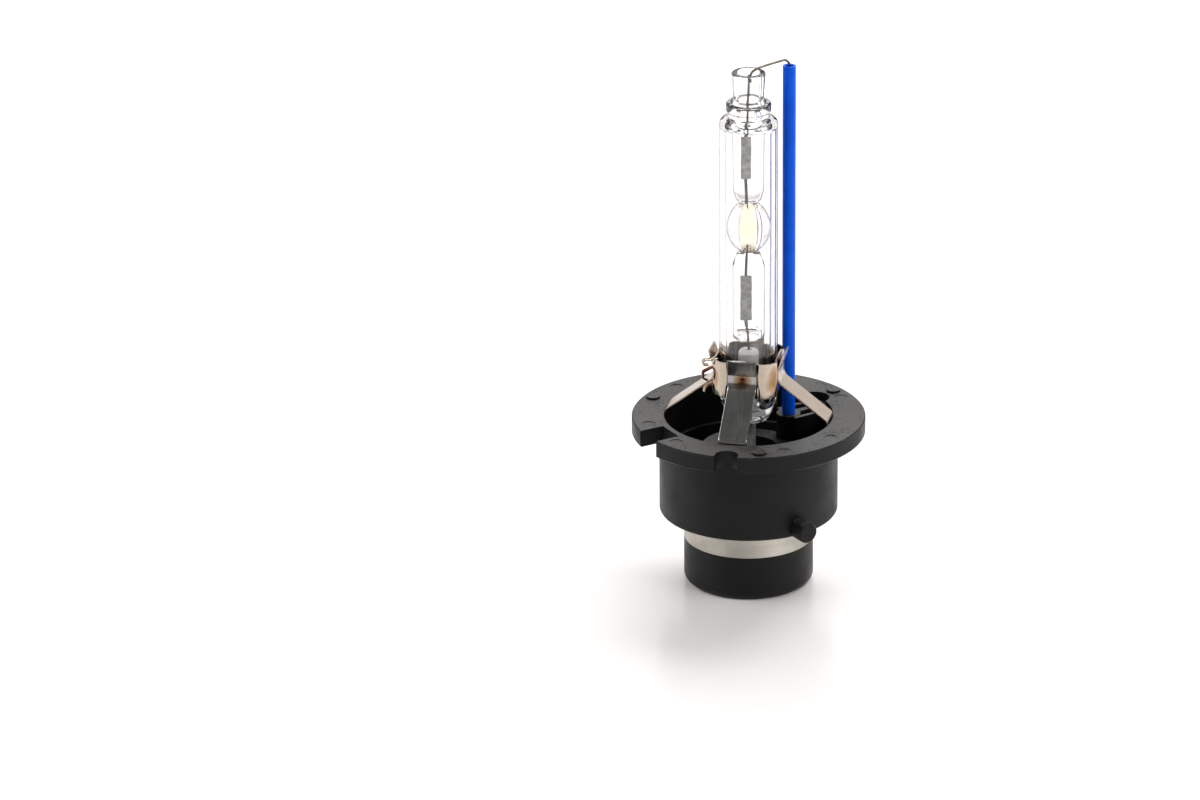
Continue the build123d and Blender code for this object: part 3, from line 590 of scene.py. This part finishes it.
class BulbGlassSettings(bpy.types.PropertyGroup):
    wall: length("Jacket wall", "Wall of the jacket", 0.85 * MM)
    ball: length("Ball", "Radius of the ball", 3.0 * MM)
    seal: length("Seal", "Radius of a sealed leg", 2.2 * MM)
    body: tint("Glass", "Colour of the glass face on", "#ffffff")
    # Painted shade: the edge colours darken the glass where the eye grazes a wall.
    edge: tint("Edge", "Colour of the arc tube edge on", "#626066")
    jacket_painted_edge: tint("Jacket edge", "Colour of its wall edge on", "#8b858e")
    stain: tint("Stain", "Tint of the discharge space", "#fcfce2")
    bloom: tint("Bloom", "Faint tint of the ball", "#fdfafc")
    lower_bore_darkening: tint("Seal line", "Tint of the lower bore's top", "#a3a2a6")
    residue: tint("Residue", "Tint of the space's lower end", "#c9924a")


class BulbWireSettings(bpy.types.PropertyGroup):
    sleeve: tint("Sleeve", "Colour of the ceramic sleeve", "#005ae6")
    sleeve_shade: tint("Sleeve mottle", "Its darker mottle", "#0052da")
    wire: tint("Wire", "Colour of the wires", "#77716a")
    foil: tint("Foil", "Colour of the sealing foils", "#bcbcba")
    radius: length("Wire radius", "Return wire", 0.16 * MM)


# ---------------------------------------------------------------- stage
class BULB_OT_stage(bpy.types.Operator):
    """Pale floor, soft light from all round and a camera a little above the flange"""

    bl_idname = "bulb.stage"
    bl_label = "Stage"

    def execute(self, context):
        settings = context.scene.bulb_stage
        context.scene.view_settings.view_transform = "Standard"
        self.make_floor(settings)
        self.make_world(context, settings)
        self.make_lights(context)
        self.make_camera(context, settings)
        return {"FINISHED"}

    def make_floor(self, settings):
        """White acrylic sheet: a large disc under the connector cap, a little glossy."""
        material, add, where = material_with("cast_white_acrylic", IOR=1.49, Specular_IOR_Level=1.0)
        ends = colour("#f3f0ef"), colour(settings.floor)
        haze, tone = clouded(add, where, *ends, Scale=25.0, Detail=3.0)
        gloss = add("ValToRGB", {"Fac": haze}, between(0.2, 0.26))
        shader_inputs(material, Base_Color=tone, Roughness=gloss)
        level, radius = cad_box[0].z, 6.0
        disc = turned([np.array([[radius, level], [0.0, level]])], steps=96)
        new_piece("floor_sheet", *disc, material)

    def make_world(self, context, settings):
        """White surround, with a dim ceiling and a dim side behind the camera for contrast."""
        world = bpy.data.worlds.new("white_surround")
        context.scene.world = world
        world.use_nodes = True
        add = partial(node, world)
        sky = add("TexCoord", out="Generated")
        height = add("SeparateXYZ", Vector=sky, out="Z")
        depth = add("SeparateXYZ", Vector=sky, out="Y")
        white = colour("#fffcfa")
        stops = [(0.0, white), (0.45, white), (0.7, grey(0.22)), (1.0, grey(0.14))]
        tone = add("ValToRGB", {"Fac": height}, stops)
        back = add("Math", {0: depth, 1: 0.5, 2: 0.5}, operation="MULTIPLY_ADD")
        dim = add("ValToRGB", {"Fac": back}, between(settings.front, 1.0, 0.08, 0.4))
        shade = add("Mix", {0: 1.0, 6: tone, 7: dim}, **MULTIPLY)
        background = world.node_tree.nodes["Background"]
        feed(world, background.inputs["Color"], shade)
        feed(world, background.inputs["Strength"], settings.fill)

    def make_lights(self, context):
        """Three softboxes round the bulb, above the white surround."""
        boxes = (
            ("back_softbox", 80, 52, 0.8, (0.7, 0.4), 6.0),
            ("left_softbox", 205, 42, 0.7, (0.4, 0.4), 2.0),
            ("right_softbox", -25, 42, 0.7, (0.4, 0.4), 2.0),
        )
        for name, around, height, away, size, power in boxes:
            light = bpy.data.lights.new(name, "AREA")
            light.shape = "RECTANGLE"
            light.size, light.size_y = size
            light.energy = power
            lamp = bpy.data.objects.new(name, light)
            turn, lift = math.radians(around), math.radians(height)
            level = math.cos(lift)
            back = Vector((math.cos(turn) * level, math.sin(turn) * level, math.sin(lift)))
            lamp.location = back * away
            lamp.rotation_euler = back.to_track_quat("Z", "Y").to_euler()
            context.scene.collection.objects.link(lamp)

    def make_camera(self, context, settings):
        """Long lens aimed at the flange, with the bulb to the right of the middle."""
        turn, lift = settings.azimuth, settings.elevation
        level = math.cos(lift)
        back = Vector((math.sin(turn) * level, -math.cos(turn) * level, math.sin(lift)))
        data = bpy.data.cameras.new("camera")
        data.sensor_width = 36.0
        data.lens = settings.lens
        data.shift_x, data.shift_y = settings.shift
        data.clip_start = 0.01
        camera = bpy.data.objects.new("camera", data)
        flange = Vector((0, 0, -SEAT_BOSS_HEIGHT))
        camera.location = flange + back * settings.distance
        camera.rotation_mode = "QUATERNION"
        camera.rotation_quaternion = back.to_track_quat("Z", "Y")
        context.scene.collection.objects.link(camera)
        context.scene.camera = camera


# ---------------------------------------------------------------- base
class BULB_OT_base(bpy.types.Operator):
    """Moulded housing and connector cap, which keep their CAD shape and get their plastic"""

    bl_idname = "bulb.base"
    bl_label = "Plastic base"

    def execute(self, context):
        settings = context.scene.bulb_base
        base, roughness = settings.plastic, settings.plastic_roughness
        plastic = moulded_plastic("moulded_black_plastic", base, roughness)
        for name in ("base_housing", "connector_cap"):
            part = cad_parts[name]
            part.data.materials.clear()
            part.data.materials.append(plastic)
        return {"FINISHED"}


class BULB_OT_contacts(bpy.types.Operator):
    """Plated contact ring and the centre contact in the connector well"""

    bl_idname = "bulb.contacts"
    bl_label = "Contacts"

    def execute(self, context):
        settings = context.scene.bulb_base
        metal = turned_metal("turned_nickel_plate", settings.ring, 0.26, 7.0)
        low, high = span("contact_ring")
        outer, wall, edge = high[0], 0.5 * MM, 0.08 * MM
        corners = tube_corners(outer - wall, outer, low[2], high[2], edge, edge)
        ring = turned([ring_profile(corners, 5)])
        finished("contact_ring", "plated", ring, metal, "plated_ring")

        low, high = span("centre_contact")
        radius, root, middle = 1.15 * MM, 0.8 * MM, low[2] + 6.5 * MM
        corners = [
            (0, low[2], 0),
            (radius, low[2], 0.7 * MM),
            (radius, middle, 0),
            (root, middle, 0),
            (root, high[2], 0),
            (0, high[2], 0),
        ]
        pin = turned([rounded(corners, steps=10)], steps=48)
        finished("centre_contact", "pin", pin, metal, "contact_metal")
        return {"FINISHED"}


# ---------------------------------------------------------------- steel
def band_flat():
    """Distance of the band's flats from the axis, outside: the jacket's radius and 0.3 mm."""
    return span("outer_envelope")[1][0] + 0.3 * MM


class BULB_OT_legs(bpy.types.Operator):
    """Four bent spring legs: tab, welded land, slant and foot"""

    bl_idname = "bulb.legs"
    bl_label = "Spring legs"

    def execute(self, context):
        settings = context.scene.bulb_steel
        for side, angle in LEG_ANGLES.items():
            self.make_leg(settings, side, angle)
        return {"FINISHED"}

    def make_leg(self, settings, side, angle):
        """Strip carried along its bent line, with a shallow dimple pressed in at the weld.

        The dimple moves points towards the axis by depth * exp(-(distance / radius) squared).
        """
        name = f"support_leg_{side}"
        low, high = span(name)
        across = outward_at(angle)
        reach = max(abs(low @ across), abs(high @ across))
        thickness = settings.leg_thickness
        middle, foot = band_flat() + thickness / 2, reach - thickness / 2
        tab_reach, tab_top = 5.15 * MM, high[2] - 0.3 * MM
        half_land, bend = 0.85 * MM, 0.6 * MM
        corners = [
            (tab_reach, tab_top, 0),
            (middle, WELD_HEIGHT + half_land, bend),
            (middle, WELD_HEIGHT - half_land, 2.0 * MM),
            (foot, 0.1 * MM, bend),
            (foot, low[2], 0),
        ]
        line = evenly(rounded(corners, steps=10), 180)
        path = upright_path(line, angle)
        along = directions(path)
        sideways = np.broadcast_to(np.cross((0, 0, 1), across), path.shape)
        section = evenly(strip_section(settings.leg_width, thickness, 0.1 * MM), 96, closed=True)
        vertices, faces = swept(path, sideways, np.cross(sideways, along), section)
        weld = weld_point(angle, middle + thickness / 2)
        depth, radius = 0.09 * MM, 0.45 * MM
        distance = np.linalg.norm(vertices - weld, axis=1, keepdims=True)
        vertices = vertices - across * depth * np.exp(-((distance / radius) ** 2))
        spots = [(tuple(weld), 1.9 * MM)] if side == "front" else []
        strip_axis = 0 if side in ("front", "back") else 1
        # Painted shade: the front leg takes the greyer, darker copy of the steel.
        shade = settings.front if side == "front" else settings.colour
        steel = rolled_steel(f"rolled_spring_steel_{side}", shade, strip_axis, spots, 0.2)
        leg = (vertices, faces)
        finished(name, "strip", leg, steel, "spring_steel", outward=True)


class BULB_OT_band(bpy.types.Operator):
    """Wavy clamp band round the glass, with its hooked lock"""

    bl_idname = "bulb.band"
    bl_label = "Clamp band"

    def execute(self, context):
        settings = context.scene.bulb_steel
        # Angle, distance from the axis and radius: heat tint at weld and lock, painted reflection
        # on two lobes.
        heat_and_painted_tints = (
            (LEG_ANGLES["front"], band_flat(), 3.0 * MM),
            (HOOK_ANGLE, 6.4 * MM, 2.4 * MM),
            # Painted reflection: these two spots brown the lobes where there is no weld.
            (-36, 7.0 * MM, 3.4 * MM),
            (-146, 7.0 * MM, 3.4 * MM),
        )
        spots = [(tuple(weld_point(angle, away)), radius) for angle, away, radius in heat_and_painted_tints]
        steel = rolled_steel("rolled_band_steel", settings.colour, 2, spots, 0.1)
        prongs = [self.prong(settings, corners) for corners in self.prongs()]
        band = joined(self.band_strip(settings, *span("clamp_band")), *prongs)
        finished("clamp_band", "strip", band, steel, "spring_steel", outward=True)
        return {"FINISHED"}

    def band_strip(self, settings, low, high):
        """Closed strip: a flat at each leg and a lobe between legs, its upper edge gently uneven.

        With u from -1 to 1 across the gap between two flats, the outline's radius there is that of
        the flat's corner plus height * (1 - |u| ** 2.6) ** 0.6. Elsewhere it is flat / cos(angle
        from the leg). The outline is then smoothed by averaging neighbours.
        """
        flat, thickness = band_flat(), settings.band_thickness
        half = settings.leg_width / 2 + 0.1 * MM
        corner = math.hypot(half, flat)
        gap = math.pi / 4 - math.atan2(half, flat)
        turn = np.linspace(0, 2 * math.pi, 1440, endpoint=False)
        from_lobe = np.mod(turn, math.pi / 2) - math.pi / 4
        share = np.clip(np.abs(from_lobe) / gap, 0, 1)
        lobe = corner + (flat + settings.lobe_rise - corner) * (1 - share**2.6) ** 0.6
        straight = flat / np.cos(math.pi / 4 - np.abs(from_lobe))
        radius = np.where(share < 1, lobe, straight)
        line = np.stack([radius * np.cos(turn), radius * np.sin(turn)], 1)
        line = evenly(line, 480, closed=True)
        for _ in range(3):
            line = (np.roll(line, 1, axis=0) + 2 * line + np.roll(line, -1, axis=0)) / 4
        along = directions(line, closed=True)
        out = np.stack([along[:, 1], -along[:, 0], np.zeros(len(along))], 1)
        angle = np.arctan2(line[:, 1], line[:, 0])
        top = high[2] + 0.09 * MM * ripple(angle, 0) - 0.1 * MM
        bottom = low[2] + 0.07 * MM * ripple(angle + 2, 0) + 0.08 * MM
        middle = np.concatenate([line, np.zeros((len(line), 1))], 1) - out * thickness / 2
        centre = middle + np.stack([0 * top, 0 * top, (top + bottom) / 2], 1)
        up = np.zeros_like(centre)
        up[:, 2] = (top - bottom) / 2
        return swept(centre, up, out, strip_section(2.0, thickness, 0.08 * MM), closed=True)

    def prongs(self):
        """Lines of the lock's three prongs, as (out from the root, height, bend), in millimetres.

        Each prong leaves the band outwards, turns down and curls back in.
        """
        return (
            ((-0.5, 8.35, 0), (1.5, 8.35, 0.3), (1.5, 7.65, 0.3), (0.75, 7.6, 0)),
            (
                (-0.5, 7.25, 0),
                (0.2, 7.2, 0.3),
                (1.5, 6.65, 0.35),
                (1.55, 5.75, 0.35),
                (0.9, 5.4, 0),
            ),
            ((-0.5, 5.05, 0), (0.1, 4.95, 0.3), (1.1, 4.45, 0.5), (1.35, 3.75, 0)),
        )

    def prong(self, settings, corners):
        """Narrow strip bent in the upright plane of the lock, from its root 5 mm off the axis."""
        root, width = 5.0, 0.75 * MM
        line = [((root + out) * MM, height * MM, bend * MM) for out, height, bend in corners]
        path = upright_path(evenly(rounded(line, steps=8), 50), HOOK_ANGLE)
        sideways = np.broadcast_to(outward_at(HOOK_ANGLE + 90), path.shape)
        section = strip_section(width, settings.band_thickness, 0.08 * MM)
        return swept(path, sideways, np.cross(sideways, directions(path)), section)


# ---------------------------------------------------------------- glass
class BULB_OT_jacket(bpy.types.Operator):
    """Quartz jacket: tapered foot, straight wall, rounded shoulder and fused collar"""

    bl_idname = "bulb.jacket"
    bl_label = "Glass jacket"

    def execute(self, context):
        settings = context.scene.bulb_glass
        low, high = span("outer_envelope")
        outer, wall, seal = high[0], settings.wall, settings.seal
        inner = outer - wall
        bottom, top = low[2], high[2]
        shoulder = top - 2.55 * MM
        rim, collar, stem = 2.95 * MM, 3.08 * MM, 1.35 * MM
        neck = collar - 0.25 * MM
        corners = [
            (rim - wall, bottom, 0.3 * MM),
            (rim, bottom, 0.4 * MM),
            (rim + 0.1 * MM, bottom + 0.5 * MM, 0.5 * MM),
            (outer - 0.08 * MM, bottom + 3.0 * MM, 1.5 * MM),
            (outer, bottom + 4.0 * MM, 1.0 * MM),
            (outer, shoulder, 1.3 * MM),
            (neck, shoulder + 0.5 * MM, 0.25 * MM),
            (neck, top - 1.4 * MM, 0.2 * MM),
            (collar, top - 1.2 * MM, 0.3 * MM),
            (collar, top - 0.05 * MM, 0.45 * MM),
            (seal + 0.25 * MM, top, 0.25 * MM),
            (seal - 0.08 * MM, top - 0.35 * MM, 0),
            (seal - 0.08 * MM, shoulder - wall, 0.1 * MM),
            (inner, shoulder - wall, 0.9 * MM),
            (inner, bottom + 4.4 * MM, 1.5 * MM),
            (rim - wall, bottom + 1.9 * MM, 0.6 * MM),
            (stem, bottom + 1.7 * MM, 0.15 * MM),
            (stem, bottom + 0.9 * MM, 0.15 * MM),
            (rim - wall, bottom + 0.4 * MM, 0.3 * MM),
        ]
        glass = fused_quartz("drawn_quartz_jacket", settings.body, settings.jacket_painted_edge, 0.62)
        foot, fade_length, pitch = bottom + 3.8 * MM, 3.0 * MM, 0.09 * MM

        def uneven(angle, height):
            """Faint tooling rings on the foot, fading out up the wall."""
            fade = np.clip((foot - height) / fade_length, 0, 1)
            return 0.012 * fade * np.sin(height / pitch)

        shape = turned([ring_profile(corners, 9)], uneven=uneven)
        finished("outer_envelope", "quartz", shape, glass, "quartz_glass", angle=60)
        return {"FINISHED"}


class BULB_OT_arc_tube(bpy.types.Operator):
    """Quartz arc tube: ball with its discharge space, sealed legs and open leg ends"""

    bl_idname = "bulb.arc_tube"
    bl_label = "Arc tube"

    def execute(self, context):
        settings = context.scene.bulb_glass
        low, high = span("arc_tube")
        centre = self.light_centre()
        outside = self.outside(settings, low[2], high[2], centre)
        space = ellipse_arc(BORE, 3.5 * MM, centre, 90, -90)
        stains = [
            (centre, 5.0 * MM, 6.2 * MM, settings.bloom),
            (centre, 2.4 * MM, 5.2 * MM, settings.stain),
            (centre - 3.3 * MM, 1.2 * MM, 1.2 * MM, settings.residue),
            # Grey darkening round the top of the lower bore.
            (low[2] + 1.5 * MM, 2.2 * MM, 0.6 * MM, settings.lower_bore_darkening),
        ]
        body, edge = settings.body, settings.edge
        glass = fused_quartz("flame_worked_quartz", body, edge, 0.56, stains, 0.08)

        def uneven(angle, height):
            """Hand-worked waviness of the sealed legs, none at the ball."""
            away = np.clip((np.abs(height - centre) - 4.5 * MM) / (3 * MM), 0, 1)
            return 0.018 * away * ripple(angle, height / (1.4 * MM))

        tube = turned([outside, space], uneven=uneven)
        finished("arc_tube", "quartz", tube, glass, "quartz_glass", angle=60)
        return {"FINISHED"}

    def light_centre(self):
        """Height midway between the electrode tips."""
        return (span("upper_electrode")[0][2] + span("lower_electrode")[1][2]) / 2

    def outside(self, settings, bottom, top, centre):
        """Outline from the lower bore round the outside to the upper bore."""
        seal, neck, half = settings.seal, 1.05 * MM, 3.72 * MM
        start = math.degrees(math.acos(neck / settings.ball))
        gap = half * math.sin(math.radians(start))
        ball = ellipse_arc(settings.ball, half, centre, -start, start, 72)
        below = [
            (0, bottom + 1.8 * MM, 0),
            (BORE, bottom + 1.5 * MM, 0.7 * MM),
            (BORE, bottom, 0.2 * MM),
            (seal, bottom, 0.25 * MM),
            (seal, centre - gap - 1.9 * MM, 1.6 * MM),
            (1.6 * MM, centre - gap - 0.3 * MM, 0.8 * MM),
            (neck, centre - gap, 0),
        ]
        above = [
            (neck, centre + gap, 0),
            (1.75 * MM, centre + gap + 0.4 * MM, 0.8 * MM),
            (seal - 0.05 * MM, centre + gap + 1.9 * MM, 1.8 * MM),
            (seal, top - 4.0 * MM, 1.0 * MM),
            (seal - 0.12 * MM, top - 3.6 * MM, 1.0 * MM),
            (seal + 0.12 * MM, top, 0.2 * MM),
            (BORE + 0.15 * MM, top, 0.2 * MM),
            (BORE - 0.1 * MM, top - 7.5 * MM, 0.7 * MM),
            (0, top - 7.8 * MM, 0),
        ]
        return np.concatenate([rounded(below, steps=9), ball[1:-1], rounded(above, steps=9)])


class BULB_OT_stem(bpy.types.Operator):
    """Domed glass bead under the arc tube and the grey tube below it"""

    bl_idname = "bulb.stem"
    bl_label = "Stem and insulator"

    def execute(self, context):
        settings = context.scene.bulb_glass
        low, high = span("lower_stem")
        radius, dimple = high[0], high[2] - 0.25 * MM
        corners = [
            (0, low[2], 0),
            (radius, low[2], 0.3 * MM),
            (radius, high[2] - 0.2 * MM, 0.9 * MM),
            (0.45 * MM, high[2], 0.4 * MM),
            (0.2 * MM, dimple, 0.1 * MM),
            (0, dimple, 0),
        ]
        glass = fused_quartz("pressed_glass_bead", settings.body, settings.edge, 0.66, (), 0.6)
        # Milky glass: little light gets through, so the bead shows white, a painted highlight for
        # its dome's reflections.
        shader_inputs(glass, Transmission_Weight=0.15, Roughness=0.05)
        bead = turned([rounded(corners, steps=10)], steps=64)
        finished("lower_stem", "bead", bead, glass, "quartz_glass", angle=60)

        low, high = span("lead_insulator")
        bore, edge = 0.26 * MM, 0.12 * MM
        corners = tube_corners(bore, high[0], low[2], high[2], edge, 0)
        ceramic = fired_ceramic("fired_grey_ceramic", "#8f8f8d", "#5f5f5e", 0.4)
        tube = turned([ring_profile(corners)], steps=64)
        finished("lead_insulator", "tube", tube, ceramic, "grey_ceramic")
        return {"FINISHED"}


# ---------------------------------------------------------------- metal inside the glass
def lean(height):
    """Sideways offset of the metal in the sealed legs, which the pinch pushed off the axis.

    It runs in straight lines: nothing at the ends, FOIL_OFFSET at a foil and ARC_OFFSET at the arc.
    """
    lower, upper = span("lower_foil"), span("upper_foil")
    lap = 3.0 * MM
    levels = [
        span("lower_stem")[1][2],
        lower[0][2],
        lower[1][2],
        span("lower_electrode")[1][2],
        span("upper_electrode")[0][2],
        upper[0][2],
        upper[1][2],
        span("upper_lead")[1][2] - lap,
    ]
    half = [0, -FOIL_OFFSET, -FOIL_OFFSET, -ARC_OFFSET]
    return np.interp(height, levels, half + half[::-1])


class BULB_OT_foils(bpy.types.Operator):
    """Two sealing foils with feathered edges"""

    bl_idname = "bulb.foils"
    bl_label = "Sealing foils"

    def execute(self, context):
        settings = context.scene.bulb_wire
        material = drawn_wire("etched_molybdenum_foil", settings.foil, 0.5)
        for name, turn in (("upper_foil", 40), ("lower_foil", 20)):
            low, high = span(name)
            foil = self.foil(low[2], high[2], turn)
            finished(name, "strip", foil, material, "molybdenum", outward=True)
        return {"FINISHED"}

    def foil(self, bottom, top, turn):
        """Thin strip, thickest along its middle, with a slight wave along its length.

        Half width is 0.52 mm, drawn in at both ends, and thickness falls as a parabola from the
        middle to the edges.
        """
        height = np.linspace(bottom, top, 60)[:, None]
        share = (height - bottom) / (top - bottom)
        ends = 1 - 0.15 * np.exp(-share / 0.01) - 0.15 * np.exp(-(1 - share) / 0.01)
        half_width = 0.52 * MM * ends * (1 + 0.02 * np.sin(share * 19))
        section = strip_section(2.0, 1.0, 0.4)[None]
        lens = 1 - 0.75 * section[..., 0] ** 2
        across = section[..., 0] * half_width
        through = section[..., 1] * lens * 0.06 * MM + 0.04 * MM * np.sin(share * 7)
        side, normal = outward_at(turn), outward_at(turn + 90)
        points = across[..., None] * side + through[..., None] * normal
        points[..., 0] += lean(height)
        points[..., 2] = height
        return skin(points)


class BULB_OT_electrodes(bpy.types.Operator):
    """Two tungsten electrodes with rounded tips"""

    bl_idname = "bulb.electrodes"
    bl_label = "Electrodes"

    def execute(self, context):
        material = drawn_wire("drawn_tungsten_rod", "#5c5955", 0.4)
        for name in ("upper_electrode", "lower_electrode"):
            low, high = span(name)
            radius = high[0]
            bends = [0.9 * radius, 0] if name == "upper_electrode" else [0, 0.9 * radius]
            ends = [(radius, low[2], bends[0]), (radius, high[2], bends[1])]
            profile = rounded([(0, low[2], 0), *ends, (0, high[2], 0)])
            vertices, faces = turned([profile], steps=24)
            vertices[:, 0] += lean(vertices[:, 2])
            finished(name, "rod", (vertices, faces), material, "tungsten")
        return {"FINISHED"}


class BULB_OT_wires(bpy.types.Operator):
    """Upper and lower lead, and the return wire that arches over into the sleeve"""

    bl_idname = "bulb.wires"
    bl_label = "Wires"

    def execute(self, context):
        settings = context.scene.bulb_wire
        material = drawn_wire("drawn_nickel_wire", settings.wire)
        wires = {}
        for name, cut in (("upper_lead", 0.5 * MM), ("lower_lead", 0)):
            low, high = span(name)
            top = high[2] - cut
            height = np.linspace(low[2], top, 80)
            sway = lean(height) + 0.04 * MM * np.sin((height - low[2]) / (top - low[2]) * 9)
            wires[name] = wire(np.stack([sway, height], 1), 0, high[0])
        line = self.return_line(*span("return_wire"), settings.radius)
        wires["return_wire"] = wire(line, SLEEVE_ANGLE, settings.radius)
        for name, shape in wires.items():
            finished(name, "drawn", shape, material, "lead_wire", outward=True)
        return {"FINISHED"}

    def return_line(self, low, high, radius):
        """Line of the return wire in the plane of the sleeve, from the lap weld to the ring."""
        orbit = sleeve_orbit()
        lap, lead_top = 2 * radius, span("upper_lead")[1][2]
        arch, tap = high[2] - radius, low[2] + radius
        reach = span("contact_ring")[1][0] - 0.5 * MM
        corners = [
            (lap, lead_top - 1.6 * MM, 0),
            (lap, lead_top - 0.25 * MM, 0.7 * MM),
            (0.24 * orbit, arch - 0.33 * MM, 2.5 * MM),
            (0.6 * orbit, arch - 0.12 * MM, 5.0 * MM),
            (0.9 * orbit, arch, 0.6 * MM),
            (orbit, arch - 0.6 * MM, 0.5 * MM),
            (orbit, arch - 3.0 * MM, 2.0 * MM),
            (orbit, tap, 0.7 * MM),
            (reach, tap, 0),
        ]
        return rounded(corners, steps=14)


# ---------------------------------------------------------------- sleeve and salts
def sleeve_orbit():
    """Distance of the sleeve's axis from the lamp axis."""
    low, high = span("insulating_sleeve")
    return np.linalg.norm((low + high)[:2] / 2)


class BULB_OT_sleeve(bpy.types.Operator):
    """Blue ceramic sleeve round the return wire"""

    bl_idname = "bulb.sleeve"
    bl_label = "Ceramic sleeve"

    def execute(self, context):
        settings = context.scene.bulb_wire
        low, high = span("insulating_sleeve")
        outer, bore, edge, rows = (high[0] - low[0]) / 2, 0.54 * MM, 0.1 * MM, 60
        profile = ring_profile(tube_corners(bore, outer, low[2], high[2], edge, edge), 6)
        straight = np.linspace(low[2] + 0.5 * MM, high[2] - 0.5 * MM, rows)
        wall = np.stack([np.full(rows, outer), straight], 1)
        half = len(profile) // 2
        profile = np.concatenate([profile[:half], wall, profile[half:]])

        def uneven(angle, height):
            """Extruded tube: it is never quite round or straight-sided."""
            return 0.008 * ripple(angle / 3, height / (5 * MM))

        axis = tuple((low + high)[:2] / 2)
        tube = turned([profile], steps=64, uneven=uneven, axis=axis)
        ceramic = fired_ceramic("fired_blue_ceramic", settings.sleeve, settings.sleeve_shade, 0.36)
        finished("insulating_sleeve", "tube", tube, ceramic, "blue_ceramic")
        return {"FINISHED"}


class BULB_OT_fill(bpy.types.Operator):
    """Fused metal salts and a mercury bead on the floor of the discharge space"""

    bl_idname = "bulb.fill"
    bl_label = "Salts and mercury"

    def execute(self, context):
        crust, mirror = {"Roughness": 0.45}, {"Metallic": 1.0, "Roughness": 0.06}
        salts = self.drop("fused_halide_salts", "#8a5a2a", "#d9b36a", 3000.0, 3.0, **crust)
        mercury = self.drop("liquid_mercury", "#b9babd", "#dfdfe2", 2000.0, 2.0, **mirror)
        self.beads("salt_pellets", "metal_salts", salts, (10, 75, 150, 230), 0.14 * MM, 0.22)
        self.beads("mercury_bead", "mercury", mercury, (300,), 0.17 * MM, 0.0)
        return {"FINISHED"}

    def drop(self, name, dark, light, scale, detail, **surface):
        """Solid halide melt (straw to brown) or liquid mercury (mirror bright), both clouded."""
        material, add, where = material_with(name, **surface)
        ends = colour(dark), colour(light)
        tone = clouded(add, where, *ends, Scale=scale, Detail=detail)[1]
        shader_inputs(material, Base_Color=tone)
        return material

    def beads(self, name, slot, material, angles, radius, lumps):
        """Small drops: spheres whose radius varies by a share of lumps."""
        low, high = span(name)
        level, orbit = (low[2] + high[2]) / 2, 0.66 * MM
        profile = ellipse_arc(radius, radius, level, -90, 90, 16)
        parts = []
        for angle in angles:

            def uneven(turn, height):
                """Lumps of a crust that has melted and set again."""
                return lumps * ripple(turn + angle, height / (0.1 * MM))

            axis = tuple((outward_at(angle) * orbit)[:2])
            parts.append(turned([profile], steps=20, uneven=uneven, axis=axis))
        finished(name, "fused", joined(*parts), material, slot)


# ---------------------------------------------------------------- panel and run
OPERATORS = (
    BULB_OT_stage,
    BULB_OT_base,
    BULB_OT_contacts,
    BULB_OT_legs,
    BULB_OT_band,
    BULB_OT_jacket,
    BULB_OT_arc_tube,
    BULB_OT_stem,
    BULB_OT_foils,
    BULB_OT_electrodes,
    BULB_OT_wires,
    BULB_OT_sleeve,
    BULB_OT_fill,
)
SETTINGS = {
    "bulb_stage": BulbStageSettings,
    "bulb_base": BulbBaseSettings,
    "bulb_steel": BulbSteelSettings,
    "bulb_glass": BulbGlassSettings,
    "bulb_wire": BulbWireSettings,
}


class BULB_PT_panel(bpy.types.Panel):
    """Settings and operators of the bulb"""

    bl_idname = "BULB_PT_panel"
    bl_label = "Discharge headlight bulb"
    bl_space_type = "VIEW_3D"
    bl_region_type = "UI"
    bl_category = "Bulb"

    def draw(self, context):
        for name, group in SETTINGS.items():
            box = self.layout.box()
            for key in group.__annotations__:
                box.prop(getattr(context.scene, name), key)
        for operator in OPERATORS:
            self.layout.operator(operator.bl_idname)


def register():
    """Register the settings, the operators and the panel."""
    for name, group in SETTINGS.items():
        bpy.utils.register_class(group)
        setattr(bpy.types.Scene, name, bpy.props.PointerProperty(type=group))
    for operator in OPERATORS:
        bpy.utils.register_class(operator)
    bpy.utils.register_class(BULB_PT_panel)


def unregister():
    """Undo register."""
    bpy.utils.unregister_class(BULB_PT_panel)
    for operator in reversed(OPERATORS):
        bpy.utils.unregister_class(operator)
    for name, group in SETTINGS.items():
        delattr(bpy.types.Scene, name)
        bpy.utils.unregister_class(group)


def main():
    register()
    for operator in OPERATORS:
        group, name = operator.bl_idname.split(".")
        getattr(getattr(bpy.ops, group), name)()


if __name__ == "__main__":
    main()
